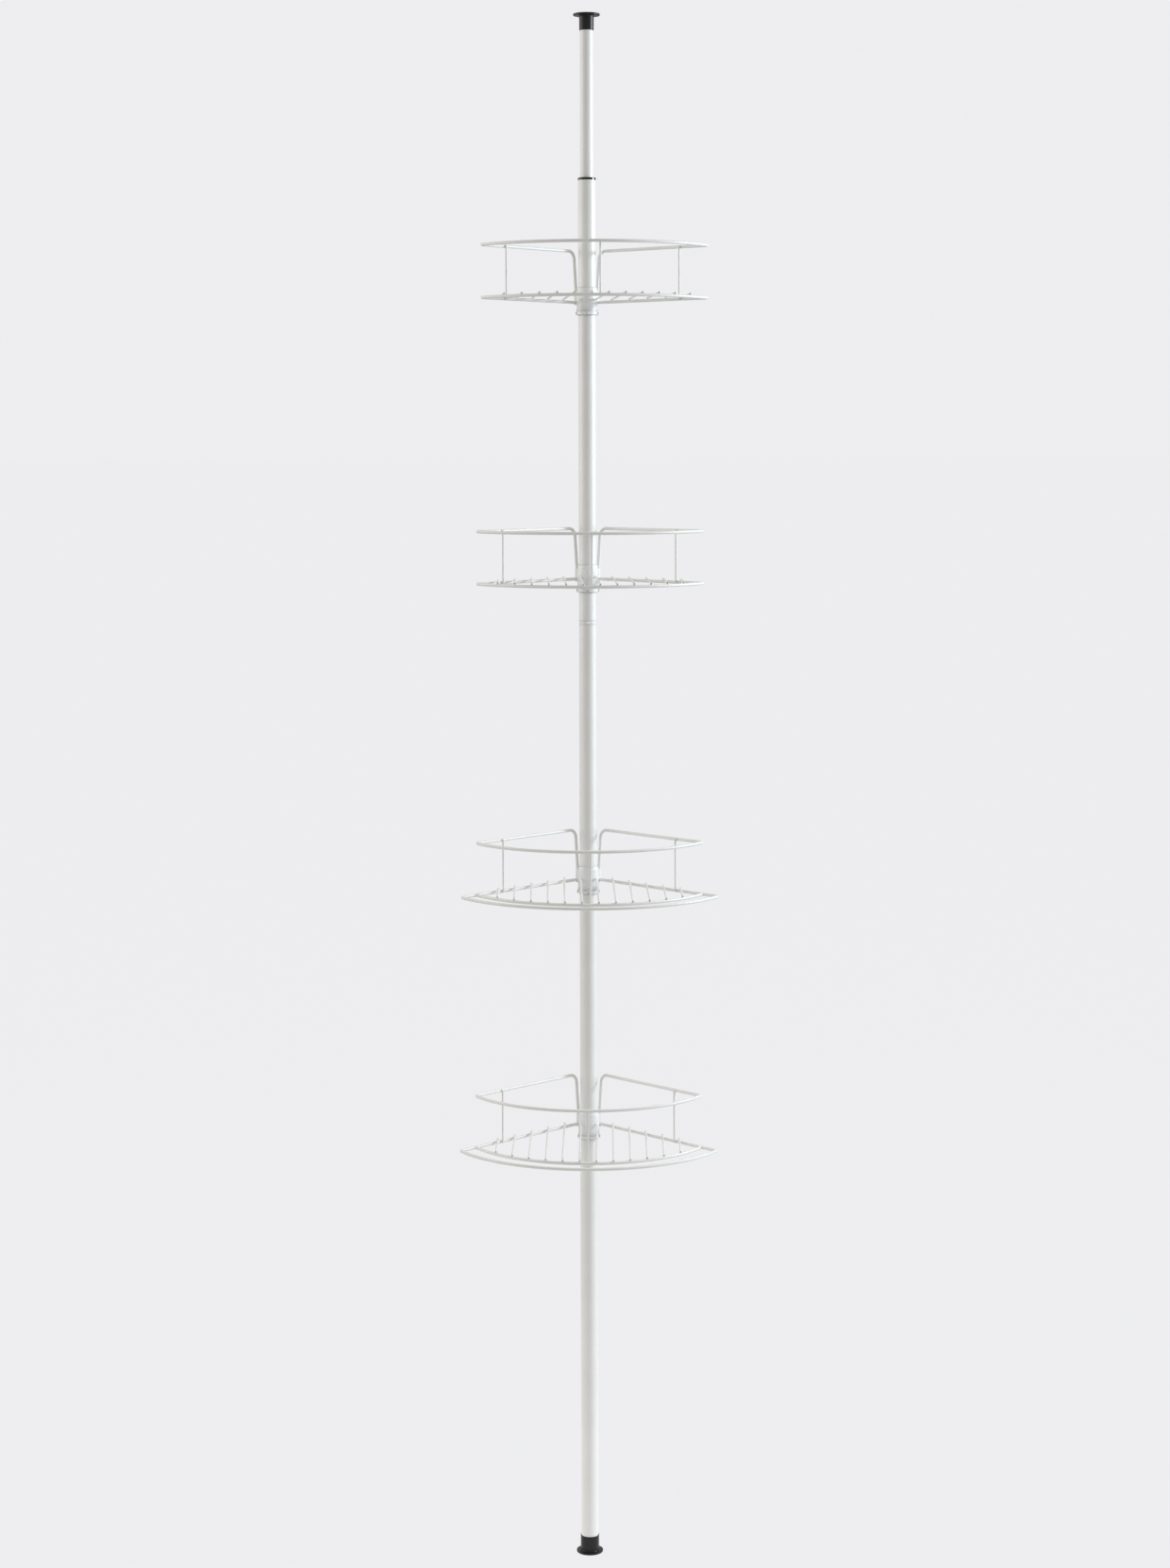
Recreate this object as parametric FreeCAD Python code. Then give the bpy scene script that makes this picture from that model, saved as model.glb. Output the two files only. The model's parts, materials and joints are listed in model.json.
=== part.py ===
import FreeCAD, Part
import math
import os

# Corner shelf unit on a sprung tension pole: a tube held between floor and ceiling,
# four quarter-round wire baskets, and a split clip under each basket's collar.
#
# Lengths are in millimetres. The origin is on the pole's axis at the floor, +Z is up,
# and the baskets' round fronts point towards -Y, so the corner of the room is at +Y.

# ---- pole ------------------------------------------------------------------
POLE_DIAMETER = 25.0
POLE_WALL = 0.8
LOWER_TUBE_TOP = 1363.4
UPPER_TUBE_LENGTH = 635.2
TOP_TUBE_DIAMETER = 19.0
TOP_TUBE_WALL = 0.8
TOP_TUBE_SHOWING = 210.7

COUPLER_RING_HEIGHT = 5.5
COUPLER_RING_PROUD = 0.15
COUPLER_PLUG_REACH = 32.0
COUPLER_PLUG_WALL = 2.2
COUPLER_KEY_DIAMETER = 4.2
COUPLER_KEY_PROUD = 0.8

GUIDE_FLANGE_HEIGHT = 3.4
GUIDE_FLANGE_PROUD = 0.45
GUIDE_SLEEVE_LENGTH = 40.0
SLIDER_LENGTH = 25.0
SLIDER_CAP_HEIGHT = 3.0

SPRING_LENGTH = 170.0
SPRING_TURNS = 12
SPRING_END_TURNS = 1
SPRING_WIRE = 2.2
SPRING_SIDE_CLEARANCE = 1.2
SPRING_SEAT_HEIGHT = 8.0
SPRING_SPIGOT_HEIGHT = 6.0

# ---- feet ------------------------------------------------------------------
FOOT_FLOOR = 3.0
FOOT_FLANGE_DIAMETER = 38.6
FOOT_FLANGE_THICKNESS = 3.0
FOOT_EDGE_CHAMFER = 0.7
FOOT_ROOT_CHAMFER = 1.0
BOTTOM_FOOT_HEIGHT = 25.0
TOP_FOOT_HEIGHT = 23.8
FOOT_CUP_WALL = 1.0
FOOT_GROOVE_DEPTH = 0.8
FOOT_GROOVE_WIDTH = 2.0
FOOT_GROOVE_RADII = (8.7, 13.5)

# ---- clips and collars -------------------------------------------------------
CLIP_TOP_WALL = 0.7
CLIP_BOTTOM_WALL = 1.3
CLIP_FLANGE_HEIGHT = 5.6
CLIP_FLANGE_WALL = 2.6
CLIP_LUG_REACH = 1.1
CLIP_LUG_THICKNESS = 2.2
CLIP_LUG_HEIGHT = 3.6
CLIP_SPLIT = 0.4

COLLAR_TOP = 21.5
COLLAR_BOTTOM = 13.2
COLLAR_WALL = 1.3
COLLAR_NECK_HEIGHT = 5.0
COLLAR_NECK_WALL = 0.7
COLLAR_SHOULDER_WIDTH = 0.8
COLLAR_SHOULDER_HEIGHT = 3.4
COLLAR_TAPER_HEIGHT = 7.0
COLLAR_TAPER_WIDTH = 0.4
SOCKET_WALL = 1.15
SOCKET_HEIGHT = 15.0
SOCKET_FLOOR = 1.2

# ---- basket wire -------------------------------------------------------------
FRAME_WIRE = 4.5
GRID_WIRE = 2.8
RAIL_HEIGHT = 73.4
FRONT_DEPTH = 229.1
FRONT_RADIUS = 181.2
BAR_FRONT_DEPTH = 261.2
BAR_FRONT_RADIUS = 206.2
CORNER_RADIUS = 7.0
LEG_SEAT_RUN = 3.8
LEG_SPLAY = 4.0
LEG_BEND_RADIUS = 12.0
CROSS_WIRE_PITCH = 23.5
CROSS_WIRE_SHORTEST = 30.0
CROSS_WIRE_OVERHANG = 2.5
STRUT_OFFSET = 124.7
STRUT_OVERLAP = 1.0
WIRE_FLATS = 8         # wire is drawn with flats, and its bends as short straights
BEND_STANDOFF = 0.3    # of the corners between those straights from the true arc

# ---- clearances ----------------------------------------------------------------
FIXED_FIT = 0.05       # radial, between pieces that stay together
RUNNING_FIT = 0.06     # radial, between pieces that slide or turn
WELD_GAP = 0.05        # between two wires at their weld
WIRE_SEAT_GAP = 0.2    # round a wire in its plastic seat
FREE_GAP = 0.3         # between pieces that only pass each other

# ---- where the baskets stand: name, base height, swing from the front, outer bar --
TIERS = (
    ("top", 1828.6, 4.6, False),
    ("upper", 1428.6, 1.4, False),
    ("lower", 990.1, 0.7, True),
    ("bottom", 630.9, -0.4, True),
)

# ---- worked out from the sizes above ----------------------------------------------
POLE_RADIUS = POLE_DIAMETER / 2
POLE_BORE = POLE_RADIUS - POLE_WALL
TOP_TUBE_RADIUS = TOP_TUBE_DIAMETER / 2
FRAME_R = FRAME_WIRE / 2
GRID_R = GRID_WIRE / 2
UPPER_TUBE_BOTTOM = LOWER_TUBE_TOP + COUPLER_RING_HEIGHT
UPPER_TUBE_TOP = UPPER_TUBE_BOTTOM + UPPER_TUBE_LENGTH
TOTAL_HEIGHT = UPPER_TUBE_TOP + GUIDE_FLANGE_HEIGHT + TOP_TUBE_SHOWING + TOP_FOOT_HEIGHT
GUIDE_BOTTOM = UPPER_TUBE_TOP - GUIDE_SLEEVE_LENGTH
SLIDER_TOP = GUIDE_BOTTOM
SLIDER_BOTTOM = SLIDER_TOP - SLIDER_LENGTH
SPRING_BOTTOM = SLIDER_BOTTOM - SPRING_LENGTH
CLIP_BORE = POLE_RADIUS + RUNNING_FIT
CLIP_TOP = COLLAR_TOP - COLLAR_NECK_HEIGHT
CLIP_TOP_RADIUS = CLIP_BORE + CLIP_TOP_WALL
CLIP_BOTTOM_RADIUS = CLIP_BORE + CLIP_BOTTOM_WALL
COLLAR_RADIUS = (CLIP_TOP_RADIUS + CLIP_BOTTOM_RADIUS) / 2 + RUNNING_FIT + COLLAR_WALL
LOOP_RADIUS = COLLAR_RADIUS + FRAME_R + WELD_GAP
SIDE_SETBACK = LOOP_RADIUS * math.sqrt(2)
CROSS_WIRE_LEVEL = FRAME_R + GRID_R + WELD_GAP
STRUT_INSET = FRAME_R + GRID_R + WELD_GAP


UP = FreeCAD.Vector(0, 0, 1)
FRONTWARDS = FreeCAD.Vector(0, -1, 0)
MITRED = 1             # corner style of a swept section


# ---- geometry helpers ------------------------------------------------------------
def at(across, depth, height):
    """Point given across the basket, out from the pole towards the front, and up."""
    return FreeCAD.Vector(across, -depth, height)


def flipped(point):
    """The same point on the other side of the basket."""
    return FreeCAD.Vector(-point.x, point.y, point.z)


def turned(profile):
    """Solid of revolution about the pole's axis from (radius, height) corners."""
    corners = [FreeCAD.Vector(radius, 0, height) for radius, height in profile]
    outline = Part.makePolygon(corners + corners[:1])
    return Part.Face(outline).revolve(FreeCAD.Vector(), UP, 360)


def pipe(outer, inner, bottom, top):
    """Plain tube between two heights."""
    return turned([(inner, bottom), (outer, bottom), (outer, top), (inner, top)])


def bend(before, corner, after, radius):
    """Start, middle and end of the arc that rounds a corner between two straights."""
    back = (before - corner).normalize()
    ahead = (after - corner).normalize()
    half = back.getAngle(ahead) / 2
    reach = radius / math.tan(half)
    centre = corner + (back + ahead).normalize() * (radius / math.sin(half))
    middle = centre + (corner - centre).normalize() * radius
    return corner + back * reach, middle, corner + ahead * reach


def steps_round(radius, angle):
    """Number of short straights that follow an arc closely enough."""
    return math.ceil(angle / (2 * math.acos(radius / (radius + BEND_STANDOFF))))


def around(start, middle, end):
    """Corners of the short straights that follow an arc, each one touching it."""
    arc = Part.Arc(start, middle, end).toShape()
    angle = arc.LastParameter - arc.FirstParameter
    steps = steps_round(arc.Curve.Radius, angle)
    corners = []
    for step in range(steps):
        on_arc = arc.valueAt(arc.FirstParameter + angle * (step + 0.5) / steps)
        outward = on_arc - arc.Curve.Center
        corners.append(arc.Curve.Center + outward / math.cos(angle / steps / 2))
    return corners


def wire_bar(path, diameter, facing):
    """Bar of wire along a chain of straights; one of its flats faces the given way."""
    along = (path[1] - path[0]).normalize()
    facing = (facing - along * facing.dot(along)).normalize()
    sideways = along.cross(facing)
    radius = diameter / 2 / math.cos(math.pi / WIRE_FLATS)
    corners = []
    for flat in range(WIRE_FLATS):
        angle = (flat + 0.5) * 2 * math.pi / WIRE_FLATS
        outward = facing * math.cos(angle) + sideways * math.sin(angle)
        corners.append(path[0] + outward * radius)
    section = Part.makePolygon(corners + corners[:1])
    return Part.makePolygon(path).makePipeShell([section], True, False, MITRED)


# ---- plan of a basket ----------------------------------------------------------------
def side_depth(across):
    """Depth of a side wire's centre line, which runs at 45 degrees past the collar."""
    return abs(across) - SIDE_SETBACK


def front_depth_at(across, front, radius):
    return front - radius + math.sqrt(radius ** 2 - across ** 2)


def tip(front, radius):
    """The rounded corner where a side meets a front arc: on the side, between, on the arc."""
    arc_centre = front - radius
    shift = SIDE_SETBACK - CORNER_RADIUS * math.sqrt(2) + arc_centre
    reach = radius - CORNER_RADIUS
    across = (shift + math.sqrt(2 * reach ** 2 - shift ** 2)) / 2
    depth = across - shift + arc_centre
    slope = math.sqrt(0.5) * CORNER_RADIUS
    outward = math.hypot(across, depth - arc_centre)
    on_arc = (across * radius / outward, arc_centre + (depth - arc_centre) * radius / outward)
    on_side = (across + slope, depth - slope)
    middle_angle = (math.atan2(on_arc[1] - depth, on_arc[0] - across) - math.pi / 4) / 2
    middle = (
        across + CORNER_RADIUS * math.cos(middle_angle),
        depth + CORNER_RADIUS * math.sin(middle_angle),
    )
    return on_side, middle, on_arc


def mirrored(path):
    """The same run of points on the other side of the basket, in reverse order."""
    return [flipped(point) for point in reversed(path)]


def front_run(level, front, radius):
    """Corners of a wire from one side, round the front, to the other side."""
    on_side, middle, on_arc = [at(*point, level) for point in tip(front, radius)]
    nose = at(0, front, level)
    corner = around(on_side, middle, on_arc)
    return corner + around(on_arc, nose, flipped(on_arc)) + mirrored(corner)


# ---- basket pieces, with the base wires' centres at height 0 ----------------------------
def leg_line():
    """Seat of a rail's leg on the base wire, and the corner where it meets the side."""
    seat_across = (LOOP_RADIUS + LEG_SEAT_RUN) * math.sqrt(0.5)
    seat = at(seat_across, side_depth(seat_across), FRAME_R + FREE_GAP)
    top_across = seat_across + LEG_SPLAY
    return seat, at(top_across, side_depth(top_across), RAIL_HEIGHT)


def rail():
    """Top rail and both its legs, bent from one length of wire."""
    seat, corner = leg_line()
    front = front_run(RAIL_HEIGHT, FRONT_DEPTH, FRONT_RADIUS)
    leg = [seat] + around(*bend(seat, corner, front[0], LEG_BEND_RADIUS))
    return wire_bar(leg + front + mirrored(leg), FRAME_WIRE, at(1, 1, 0))


def base_frame(front, radius, diameter=FRAME_WIRE):
    """Closed base wire: it hooks round behind the collar and carries the grid."""
    run = front_run(0, front, radius)
    touch = at(SIDE_SETBACK / 2, -SIDE_SETBACK / 2, 0)
    start = (touch + run[0]) / 2
    hook = around(flipped(touch), at(0, -LOOP_RADIUS, 0), touch)
    return wire_bar([start] + run + hook + [start], diameter, UP)


def shelf_arc():
    """Inner front arc of a large basket, coped to the side wires."""
    half_chord = math.sqrt(2 * FRONT_RADIUS ** 2 - (SIDE_SETBACK + FRONT_DEPTH - FRONT_RADIUS) ** 2)
    across = (SIDE_SETBACK + FRONT_DEPTH - FRONT_RADIUS + half_chord) / 2
    end = at(across, side_depth(across), 0)
    corners = around(end, at(0, FRONT_DEPTH, 0), flipped(end))
    whole = wire_bar([end] + corners + [flipped(end)], FRAME_WIRE, UP)
    for sign in (1, -1):
        start = at(0, -SIDE_SETBACK, 0)
        far = at(sign * BAR_FRONT_DEPTH, BAR_FRONT_DEPTH - SIDE_SETBACK, 0)
        whole = whole.cut(wire_bar([start, far], FRAME_WIRE + 2 * WELD_GAP, UP))
    return max(whole.Solids, key=lambda solid: solid.Volume)


def cross_wires():
    """Grid of parallel wires lying on the base, from the sides or the collar to the front."""
    wires = []
    across = CROSS_WIRE_PITCH / 2
    keep_out = LOOP_RADIUS + FRAME_R + SOCKET_WALL + FREE_GAP
    while across < FRONT_RADIUS:
        front = front_depth_at(across, FRONT_DEPTH, FRONT_RADIUS) + FRAME_R
        if across - GRID_R < keep_out:
            chord = max(COLLAR_RADIUS ** 2 - (across - GRID_R) ** 2, 0)
            rear = math.sqrt(chord) + FREE_GAP
        else:
            rear = side_depth(across) - FRAME_R * math.sqrt(2) - CROSS_WIRE_OVERHANG
        if front - rear < CROSS_WIRE_SHORTEST:
            break
        for sign in (1, -1):
            start = at(sign * across, rear, CROSS_WIRE_LEVEL)
            end = at(sign * across, front, CROSS_WIRE_LEVEL)
            wires.append(wire_bar([start, end], GRID_WIRE, UP))
        across += CROSS_WIRE_PITCH
    return Part.makeCompound(wires)


def struts():
    """Three uprights welded inside the rail and the base."""
    inward = STRUT_INSET * math.sqrt(0.5)
    feet = [(0, FRONT_DEPTH - STRUT_INSET)]
    for sign in (1, -1):
        feet.append((sign * (STRUT_OFFSET - inward), side_depth(STRUT_OFFSET) + inward))
    bottom = -STRUT_OVERLAP
    top = RAIL_HEIGHT + STRUT_OVERLAP
    bars = []
    for foot in feet:
        bars.append(wire_bar([at(*foot, bottom), at(*foot, top)], GRID_WIRE, FRONTWARDS))
    return Part.makeCompound(bars)


def collar():
    """Plastic sleeve that wedges on the clip and holds the wires' inner ends."""
    inner_bottom = CLIP_BOTTOM_RADIUS + RUNNING_FIT
    inner_top = CLIP_TOP_RADIUS + RUNNING_FIT
    neck_bore = POLE_RADIUS + FREE_GAP
    sleeve = turned([
        (inner_bottom, -COLLAR_BOTTOM),
        (COLLAR_RADIUS - COLLAR_TAPER_WIDTH, -COLLAR_BOTTOM),
        (COLLAR_RADIUS, COLLAR_TAPER_HEIGHT - COLLAR_BOTTOM),
        (COLLAR_RADIUS, CLIP_TOP),
        (COLLAR_RADIUS - COLLAR_SHOULDER_WIDTH, CLIP_TOP + COLLAR_SHOULDER_HEIGHT),
        (neck_bore + COLLAR_NECK_WALL, COLLAR_TOP),
        (neck_bore, COLLAR_TOP),
        (neck_bore, CLIP_TOP + FREE_GAP),
        (inner_top, CLIP_TOP + FREE_GAP),
    ])
    seat, corner = leg_line()
    run = (corner - seat).normalize()
    seat_radius = FRAME_R + WIRE_SEAT_GAP
    socket_bottom = -seat_radius - SOCKET_FLOOR
    body = sleeve
    holes = []
    for start, way in ((seat, run), (flipped(seat), flipped(run))):
        foot = FreeCAD.Vector(start.x, start.y, socket_bottom)
        pillar = Part.makeCylinder(seat_radius + SOCKET_WALL, SOCKET_HEIGHT - socket_bottom, foot)
        body = body.fuse(pillar)
        leg = [start - way * FRAME_R, start + way * 2 * SOCKET_HEIGHT]
        holes.append(wire_bar(leg, 2 * seat_radius, at(start.x, start.x, 0)))
    bore = turned([
        (0, -COLLAR_BOTTOM),
        (inner_bottom, -COLLAR_BOTTOM),
        (inner_top, CLIP_TOP),
        (0, CLIP_TOP),
    ])
    groove = base_frame(FRONT_DEPTH, FRONT_RADIUS, 2 * seat_radius)
    for hollow in [bore, groove] + holes:
        body = body.cut(hollow)
    return body.removeSplitter()


def clip_half(facing):
    """Half of the split wedge that grips the pole; facing is 1 for the front half."""
    flange = CLIP_BORE + CLIP_FLANGE_WALL
    bottom = -COLLAR_BOTTOM - CLIP_FLANGE_HEIGHT
    ring = turned([
        (CLIP_BORE, bottom),
        (flange, bottom),
        (flange, -COLLAR_BOTTOM),
        (CLIP_BOTTOM_RADIUS, -COLLAR_BOTTOM),
        (CLIP_TOP_RADIUS, CLIP_TOP),
        (CLIP_BORE, CLIP_TOP),
    ])
    lug_width = CLIP_LUG_REACH + CLIP_FLANGE_WALL / 2
    lug_bottom = bottom + (CLIP_FLANGE_HEIGHT - CLIP_LUG_HEIGHT) / 2
    for sign in (1, -1):
        inner = sign * (flange + CLIP_LUG_REACH - lug_width / 2)
        lug = Part.makeBox(lug_width, 2 * CLIP_LUG_THICKNESS + CLIP_SPLIT, CLIP_LUG_HEIGHT)
        lug.translate(FreeCAD.Vector(inner - lug_width / 2, -lug.BoundBox.YLength / 2, lug_bottom))
        ring = ring.fuse(lug)
    reach = 2 * (flange + CLIP_LUG_REACH)
    half_space = Part.makeBox(reach, reach, COLLAR_BOTTOM + CLIP_FLANGE_HEIGHT + CLIP_TOP)
    front_edge = -reach - CLIP_SPLIT / 2 if facing > 0 else CLIP_SPLIT / 2
    half_space.translate(FreeCAD.Vector(-reach / 2, front_edge, bottom))
    return ring.common(half_space).removeSplitter()


# ---- pole pieces ---------------------------------------------------------------------
def foot(cup_bore, cup_height):
    """Foot pointing down: a cup for the tube on a thin wider flange, with a ringed sole."""
    cup = cup_bore + FOOT_CUP_WALL
    rim = FOOT_FLANGE_DIAMETER / 2
    body = turned([
        (0, 0),
        (rim - FOOT_EDGE_CHAMFER, 0),
        (rim, FOOT_EDGE_CHAMFER),
        (rim, FOOT_FLANGE_THICKNESS - FOOT_EDGE_CHAMFER),
        (rim - FOOT_EDGE_CHAMFER, FOOT_FLANGE_THICKNESS),
        (cup + FOOT_ROOT_CHAMFER, FOOT_FLANGE_THICKNESS),
        (cup, FOOT_FLANGE_THICKNESS + FOOT_ROOT_CHAMFER),
        (cup, cup_height),
        (cup_bore, cup_height),
        (cup_bore, FOOT_FLOOR),
        (0, FOOT_FLOOR),
    ])
    for groove in FOOT_GROOVE_RADII:
        body = body.cut(pipe(groove + FOOT_GROOVE_WIDTH, groove, 0, FOOT_GROOVE_DEPTH))
    return body


def bottom_foot():
    return foot(POLE_RADIUS + FIXED_FIT, BOTTOM_FOOT_HEIGHT)


def top_foot():
    sole_up = foot(TOP_TUBE_RADIUS + FIXED_FIT, TOP_FOOT_HEIGHT)
    sole_up.rotate(FreeCAD.Vector(), FreeCAD.Vector(1, 0, 0), 180)
    return sole_up.translate(FreeCAD.Vector(0, 0, TOTAL_HEIGHT))


def lower_tube():
    return pipe(POLE_RADIUS, POLE_BORE, FOOT_FLOOR, LOWER_TUBE_TOP)


def upper_tube():
    return pipe(POLE_RADIUS, POLE_BORE, UPPER_TUBE_BOTTOM, UPPER_TUBE_TOP)


def tube_coupler():
    """Plug in both tube ends, with the ring between them and a domed key on its front."""
    plug = POLE_BORE - FIXED_FIT
    bore = plug - COUPLER_PLUG_WALL
    ring = POLE_RADIUS + COUPLER_RING_PROUD
    body = turned([
        (bore, LOWER_TUBE_TOP - COUPLER_PLUG_REACH),
        (plug, LOWER_TUBE_TOP - COUPLER_PLUG_REACH),
        (plug, LOWER_TUBE_TOP),
        (ring, LOWER_TUBE_TOP),
        (ring, UPPER_TUBE_BOTTOM),
        (plug, UPPER_TUBE_BOTTOM),
        (plug, UPPER_TUBE_BOTTOM + COUPLER_PLUG_REACH),
        (bore, UPPER_TUBE_BOTTOM + COUPLER_PLUG_REACH),
    ])
    middle = (LOWER_TUBE_TOP + UPPER_TUBE_BOTTOM) / 2
    key_radius = COUPLER_KEY_DIAMETER / 2
    tip_depth = ring + COUPLER_KEY_PROUD
    shank = Part.makeCylinder(key_radius, tip_depth - plug, at(0, plug, middle), FRONTWARDS)
    dome_radius = (key_radius ** 2 + COUPLER_KEY_PROUD ** 2) / (2 * COUPLER_KEY_PROUD)
    dome = Part.makeSphere(dome_radius, at(0, tip_depth - dome_radius, middle))
    return body.fuse(shank.common(dome))


def guide_bush():
    """Ring on the tube's mouth, with a sleeve inside that guides the top tube."""
    sleeve = POLE_BORE - FIXED_FIT
    bore = TOP_TUBE_RADIUS + RUNNING_FIT
    flange = POLE_RADIUS + GUIDE_FLANGE_PROUD
    return turned([
        (bore, GUIDE_BOTTOM),
        (sleeve, GUIDE_BOTTOM),
        (sleeve, UPPER_TUBE_TOP),
        (flange, UPPER_TUBE_TOP),
        (flange, UPPER_TUBE_TOP + GUIDE_FLANGE_HEIGHT),
        (bore, UPPER_TUBE_TOP + GUIDE_FLANGE_HEIGHT),
    ])


def top_tube():
    bottom = SLIDER_BOTTOM + SLIDER_CAP_HEIGHT
    inner = TOP_TUBE_RADIUS - TOP_TUBE_WALL
    return pipe(TOP_TUBE_RADIUS, inner, bottom, TOTAL_HEIGHT - FOOT_FLOOR)


def slider_bush():
    """Cup on the top tube's lower end: it runs in the pole and stops under the guide."""
    outer = POLE_BORE - RUNNING_FIT
    grip = TOP_TUBE_RADIUS + FIXED_FIT
    return turned([
        (0, SLIDER_BOTTOM),
        (outer, SLIDER_BOTTOM),
        (outer, SLIDER_TOP),
        (grip, SLIDER_TOP),
        (grip, SLIDER_BOTTOM + SLIDER_CAP_HEIGHT),
        (0, SLIDER_BOTTOM + SLIDER_CAP_HEIGHT),
    ])


def coil_rise(turn):
    """Height of the coil's centre line after so many turns; its end turns lie closed."""
    closed_pitch = SPRING_WIRE + FREE_GAP
    open_turns = SPRING_TURNS - 2 * SPRING_END_TURNS
    opening = SPRING_LENGTH - SPRING_WIRE - 2 * FREE_GAP - SPRING_TURNS * closed_pitch
    share_open = min(max(turn - SPRING_END_TURNS, 0), open_turns) / open_turns
    return turn * closed_pitch + share_open * opening


def spring():
    """Compression spring between the seat and the slider."""
    radius = POLE_BORE - SPRING_SIDE_CLEARANCE - SPRING_WIRE / 2
    bottom = SPRING_BOTTOM + FREE_GAP + SPRING_WIRE / 2
    steps = steps_round(radius, 2 * math.pi)
    path = []
    for step in range(SPRING_TURNS * steps + 1):
        angle = 2 * math.pi * step / steps
        height = bottom + coil_rise(step / steps)
        path.append(FreeCAD.Vector(radius * math.cos(angle), radius * math.sin(angle), height))
    return wire_bar(path, SPRING_WIRE, UP)


def spring_seat():
    """Plug fixed in the pole under the spring, with a spigot that centres the coil."""
    plug = POLE_BORE - FIXED_FIT
    spigot = POLE_BORE - SPRING_SIDE_CLEARANCE - SPRING_WIRE - FREE_GAP
    return turned([
        (0, SPRING_BOTTOM - SPRING_SEAT_HEIGHT),
        (plug, SPRING_BOTTOM - SPRING_SEAT_HEIGHT),
        (plug, SPRING_BOTTOM),
        (spigot, SPRING_BOTTOM),
        (spigot, SPRING_BOTTOM + SPRING_SPIGOT_HEIGHT),
        (0, SPRING_BOTTOM + SPRING_SPIGOT_HEIGHT),
    ])


# ---- the whole unit --------------------------------------------------------------------
def pole_nodes():
    return {
        "bottom_foot": bottom_foot(),
        "lower_tube": lower_tube(),
        "tube_coupler": tube_coupler(),
        "upper_tube": upper_tube(),
        "guide_bush": guide_bush(),
        "spring_seat": spring_seat(),
        "spring": spring(),
        "top_tube": top_tube(),
        "slider_bush": slider_bush(),
        "top_foot": top_foot(),
    }


def basket_nodes(has_bar):
    """One basket's pieces; a large one has an outer bar in front of its shelf arc."""
    if has_bar:
        frame = base_frame(BAR_FRONT_DEPTH, BAR_FRONT_RADIUS)
    else:
        frame = base_frame(FRONT_DEPTH, FRONT_RADIUS)
    nodes = {
        "rail": rail(),
        "base_frame": frame,
        "cross_wires": cross_wires(),
        "struts": struts(),
        "collar": collar(),
    }
    if has_bar:
        nodes["shelf_arc"] = shelf_arc()
    return nodes


def placed(shape, height, swing):
    """A piece turned about the pole and lifted to its height."""
    copy = shape.copy()
    copy.rotate(FreeCAD.Vector(), UP, swing)
    copy.translate(FreeCAD.Vector(0, 0, height))
    return copy


def tier_nodes():
    plain = basket_nodes(False)
    barred = basket_nodes(True)
    halves = {"clip_front": clip_half(1), "clip_back": clip_half(-1)}
    nodes = {}
    for name, height, swing, has_bar in TIERS:
        for piece, shape in (barred if has_bar else plain).items():
            nodes[f"{name}_{piece}"] = placed(shape, height, swing)
        for piece, shape in halves.items():
            nodes[f"{name}_{piece}"] = placed(shape, height, 0)
    return nodes


os.makedirs("parts", exist_ok=True)
for node, solid in {**pole_nodes(), **tier_nodes()}.items():
    solid.exportStep(f"parts/{node}.step")
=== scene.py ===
"""Dresses a corner shelf unit: a sprung tension pole that carries four wire baskets."""

import json
import logging
import math
from collections.abc import Callable, Sequence
from dataclasses import dataclass, field
from enum import Enum
from typing import Any

import bmesh
import bpy
from mathutils import Matrix, Vector

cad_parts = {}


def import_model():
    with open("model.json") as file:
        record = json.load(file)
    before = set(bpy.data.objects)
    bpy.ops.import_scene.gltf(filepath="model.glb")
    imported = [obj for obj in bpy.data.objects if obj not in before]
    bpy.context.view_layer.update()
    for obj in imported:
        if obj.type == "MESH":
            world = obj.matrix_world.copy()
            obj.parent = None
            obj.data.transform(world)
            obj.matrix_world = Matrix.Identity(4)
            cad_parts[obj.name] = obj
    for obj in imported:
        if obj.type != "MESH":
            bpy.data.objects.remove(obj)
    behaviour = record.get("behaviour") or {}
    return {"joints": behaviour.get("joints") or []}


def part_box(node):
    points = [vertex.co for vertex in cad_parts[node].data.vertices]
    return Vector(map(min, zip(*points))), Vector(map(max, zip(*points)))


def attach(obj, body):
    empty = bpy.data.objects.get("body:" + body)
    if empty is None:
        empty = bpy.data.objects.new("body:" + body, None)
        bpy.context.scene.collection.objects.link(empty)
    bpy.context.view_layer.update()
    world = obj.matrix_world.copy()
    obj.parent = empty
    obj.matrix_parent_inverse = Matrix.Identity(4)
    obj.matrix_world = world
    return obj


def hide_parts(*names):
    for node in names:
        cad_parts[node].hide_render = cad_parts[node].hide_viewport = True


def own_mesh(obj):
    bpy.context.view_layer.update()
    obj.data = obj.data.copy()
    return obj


logging.basicConfig(level=logging.INFO, format="%(name)s: %(message)s")
LOG = logging.getLogger("shelf_unit")

MM = 0.001
Colour = tuple[float, float, float, float]
Place = tuple[float, float, float]
Line = list[Vector]
Piece = bpy.types.Object
Shape = bmesh.types.BMesh
Material = bpy.types.Material


# ---- node trees ----
def maths(operation: str, swapped: bool = False) -> Callable[..., "Socket"]:
    """Makes a method that adds a Math node on a socket and another value.

    Args:
        operation: The node's operation.
        swapped: Whether the other value comes first.

    Returns:
        The method, which returns the node's result.
    """

    def method(self: "Socket", other: "Value" = 0.0) -> "Socket":
        """Result of the Math node."""
        values = (other, self) if swapped else (self, other)
        return self.graph.node("ShaderNodeMath", dict(enumerate(values)), operation=operation)[0]

    return method


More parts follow.
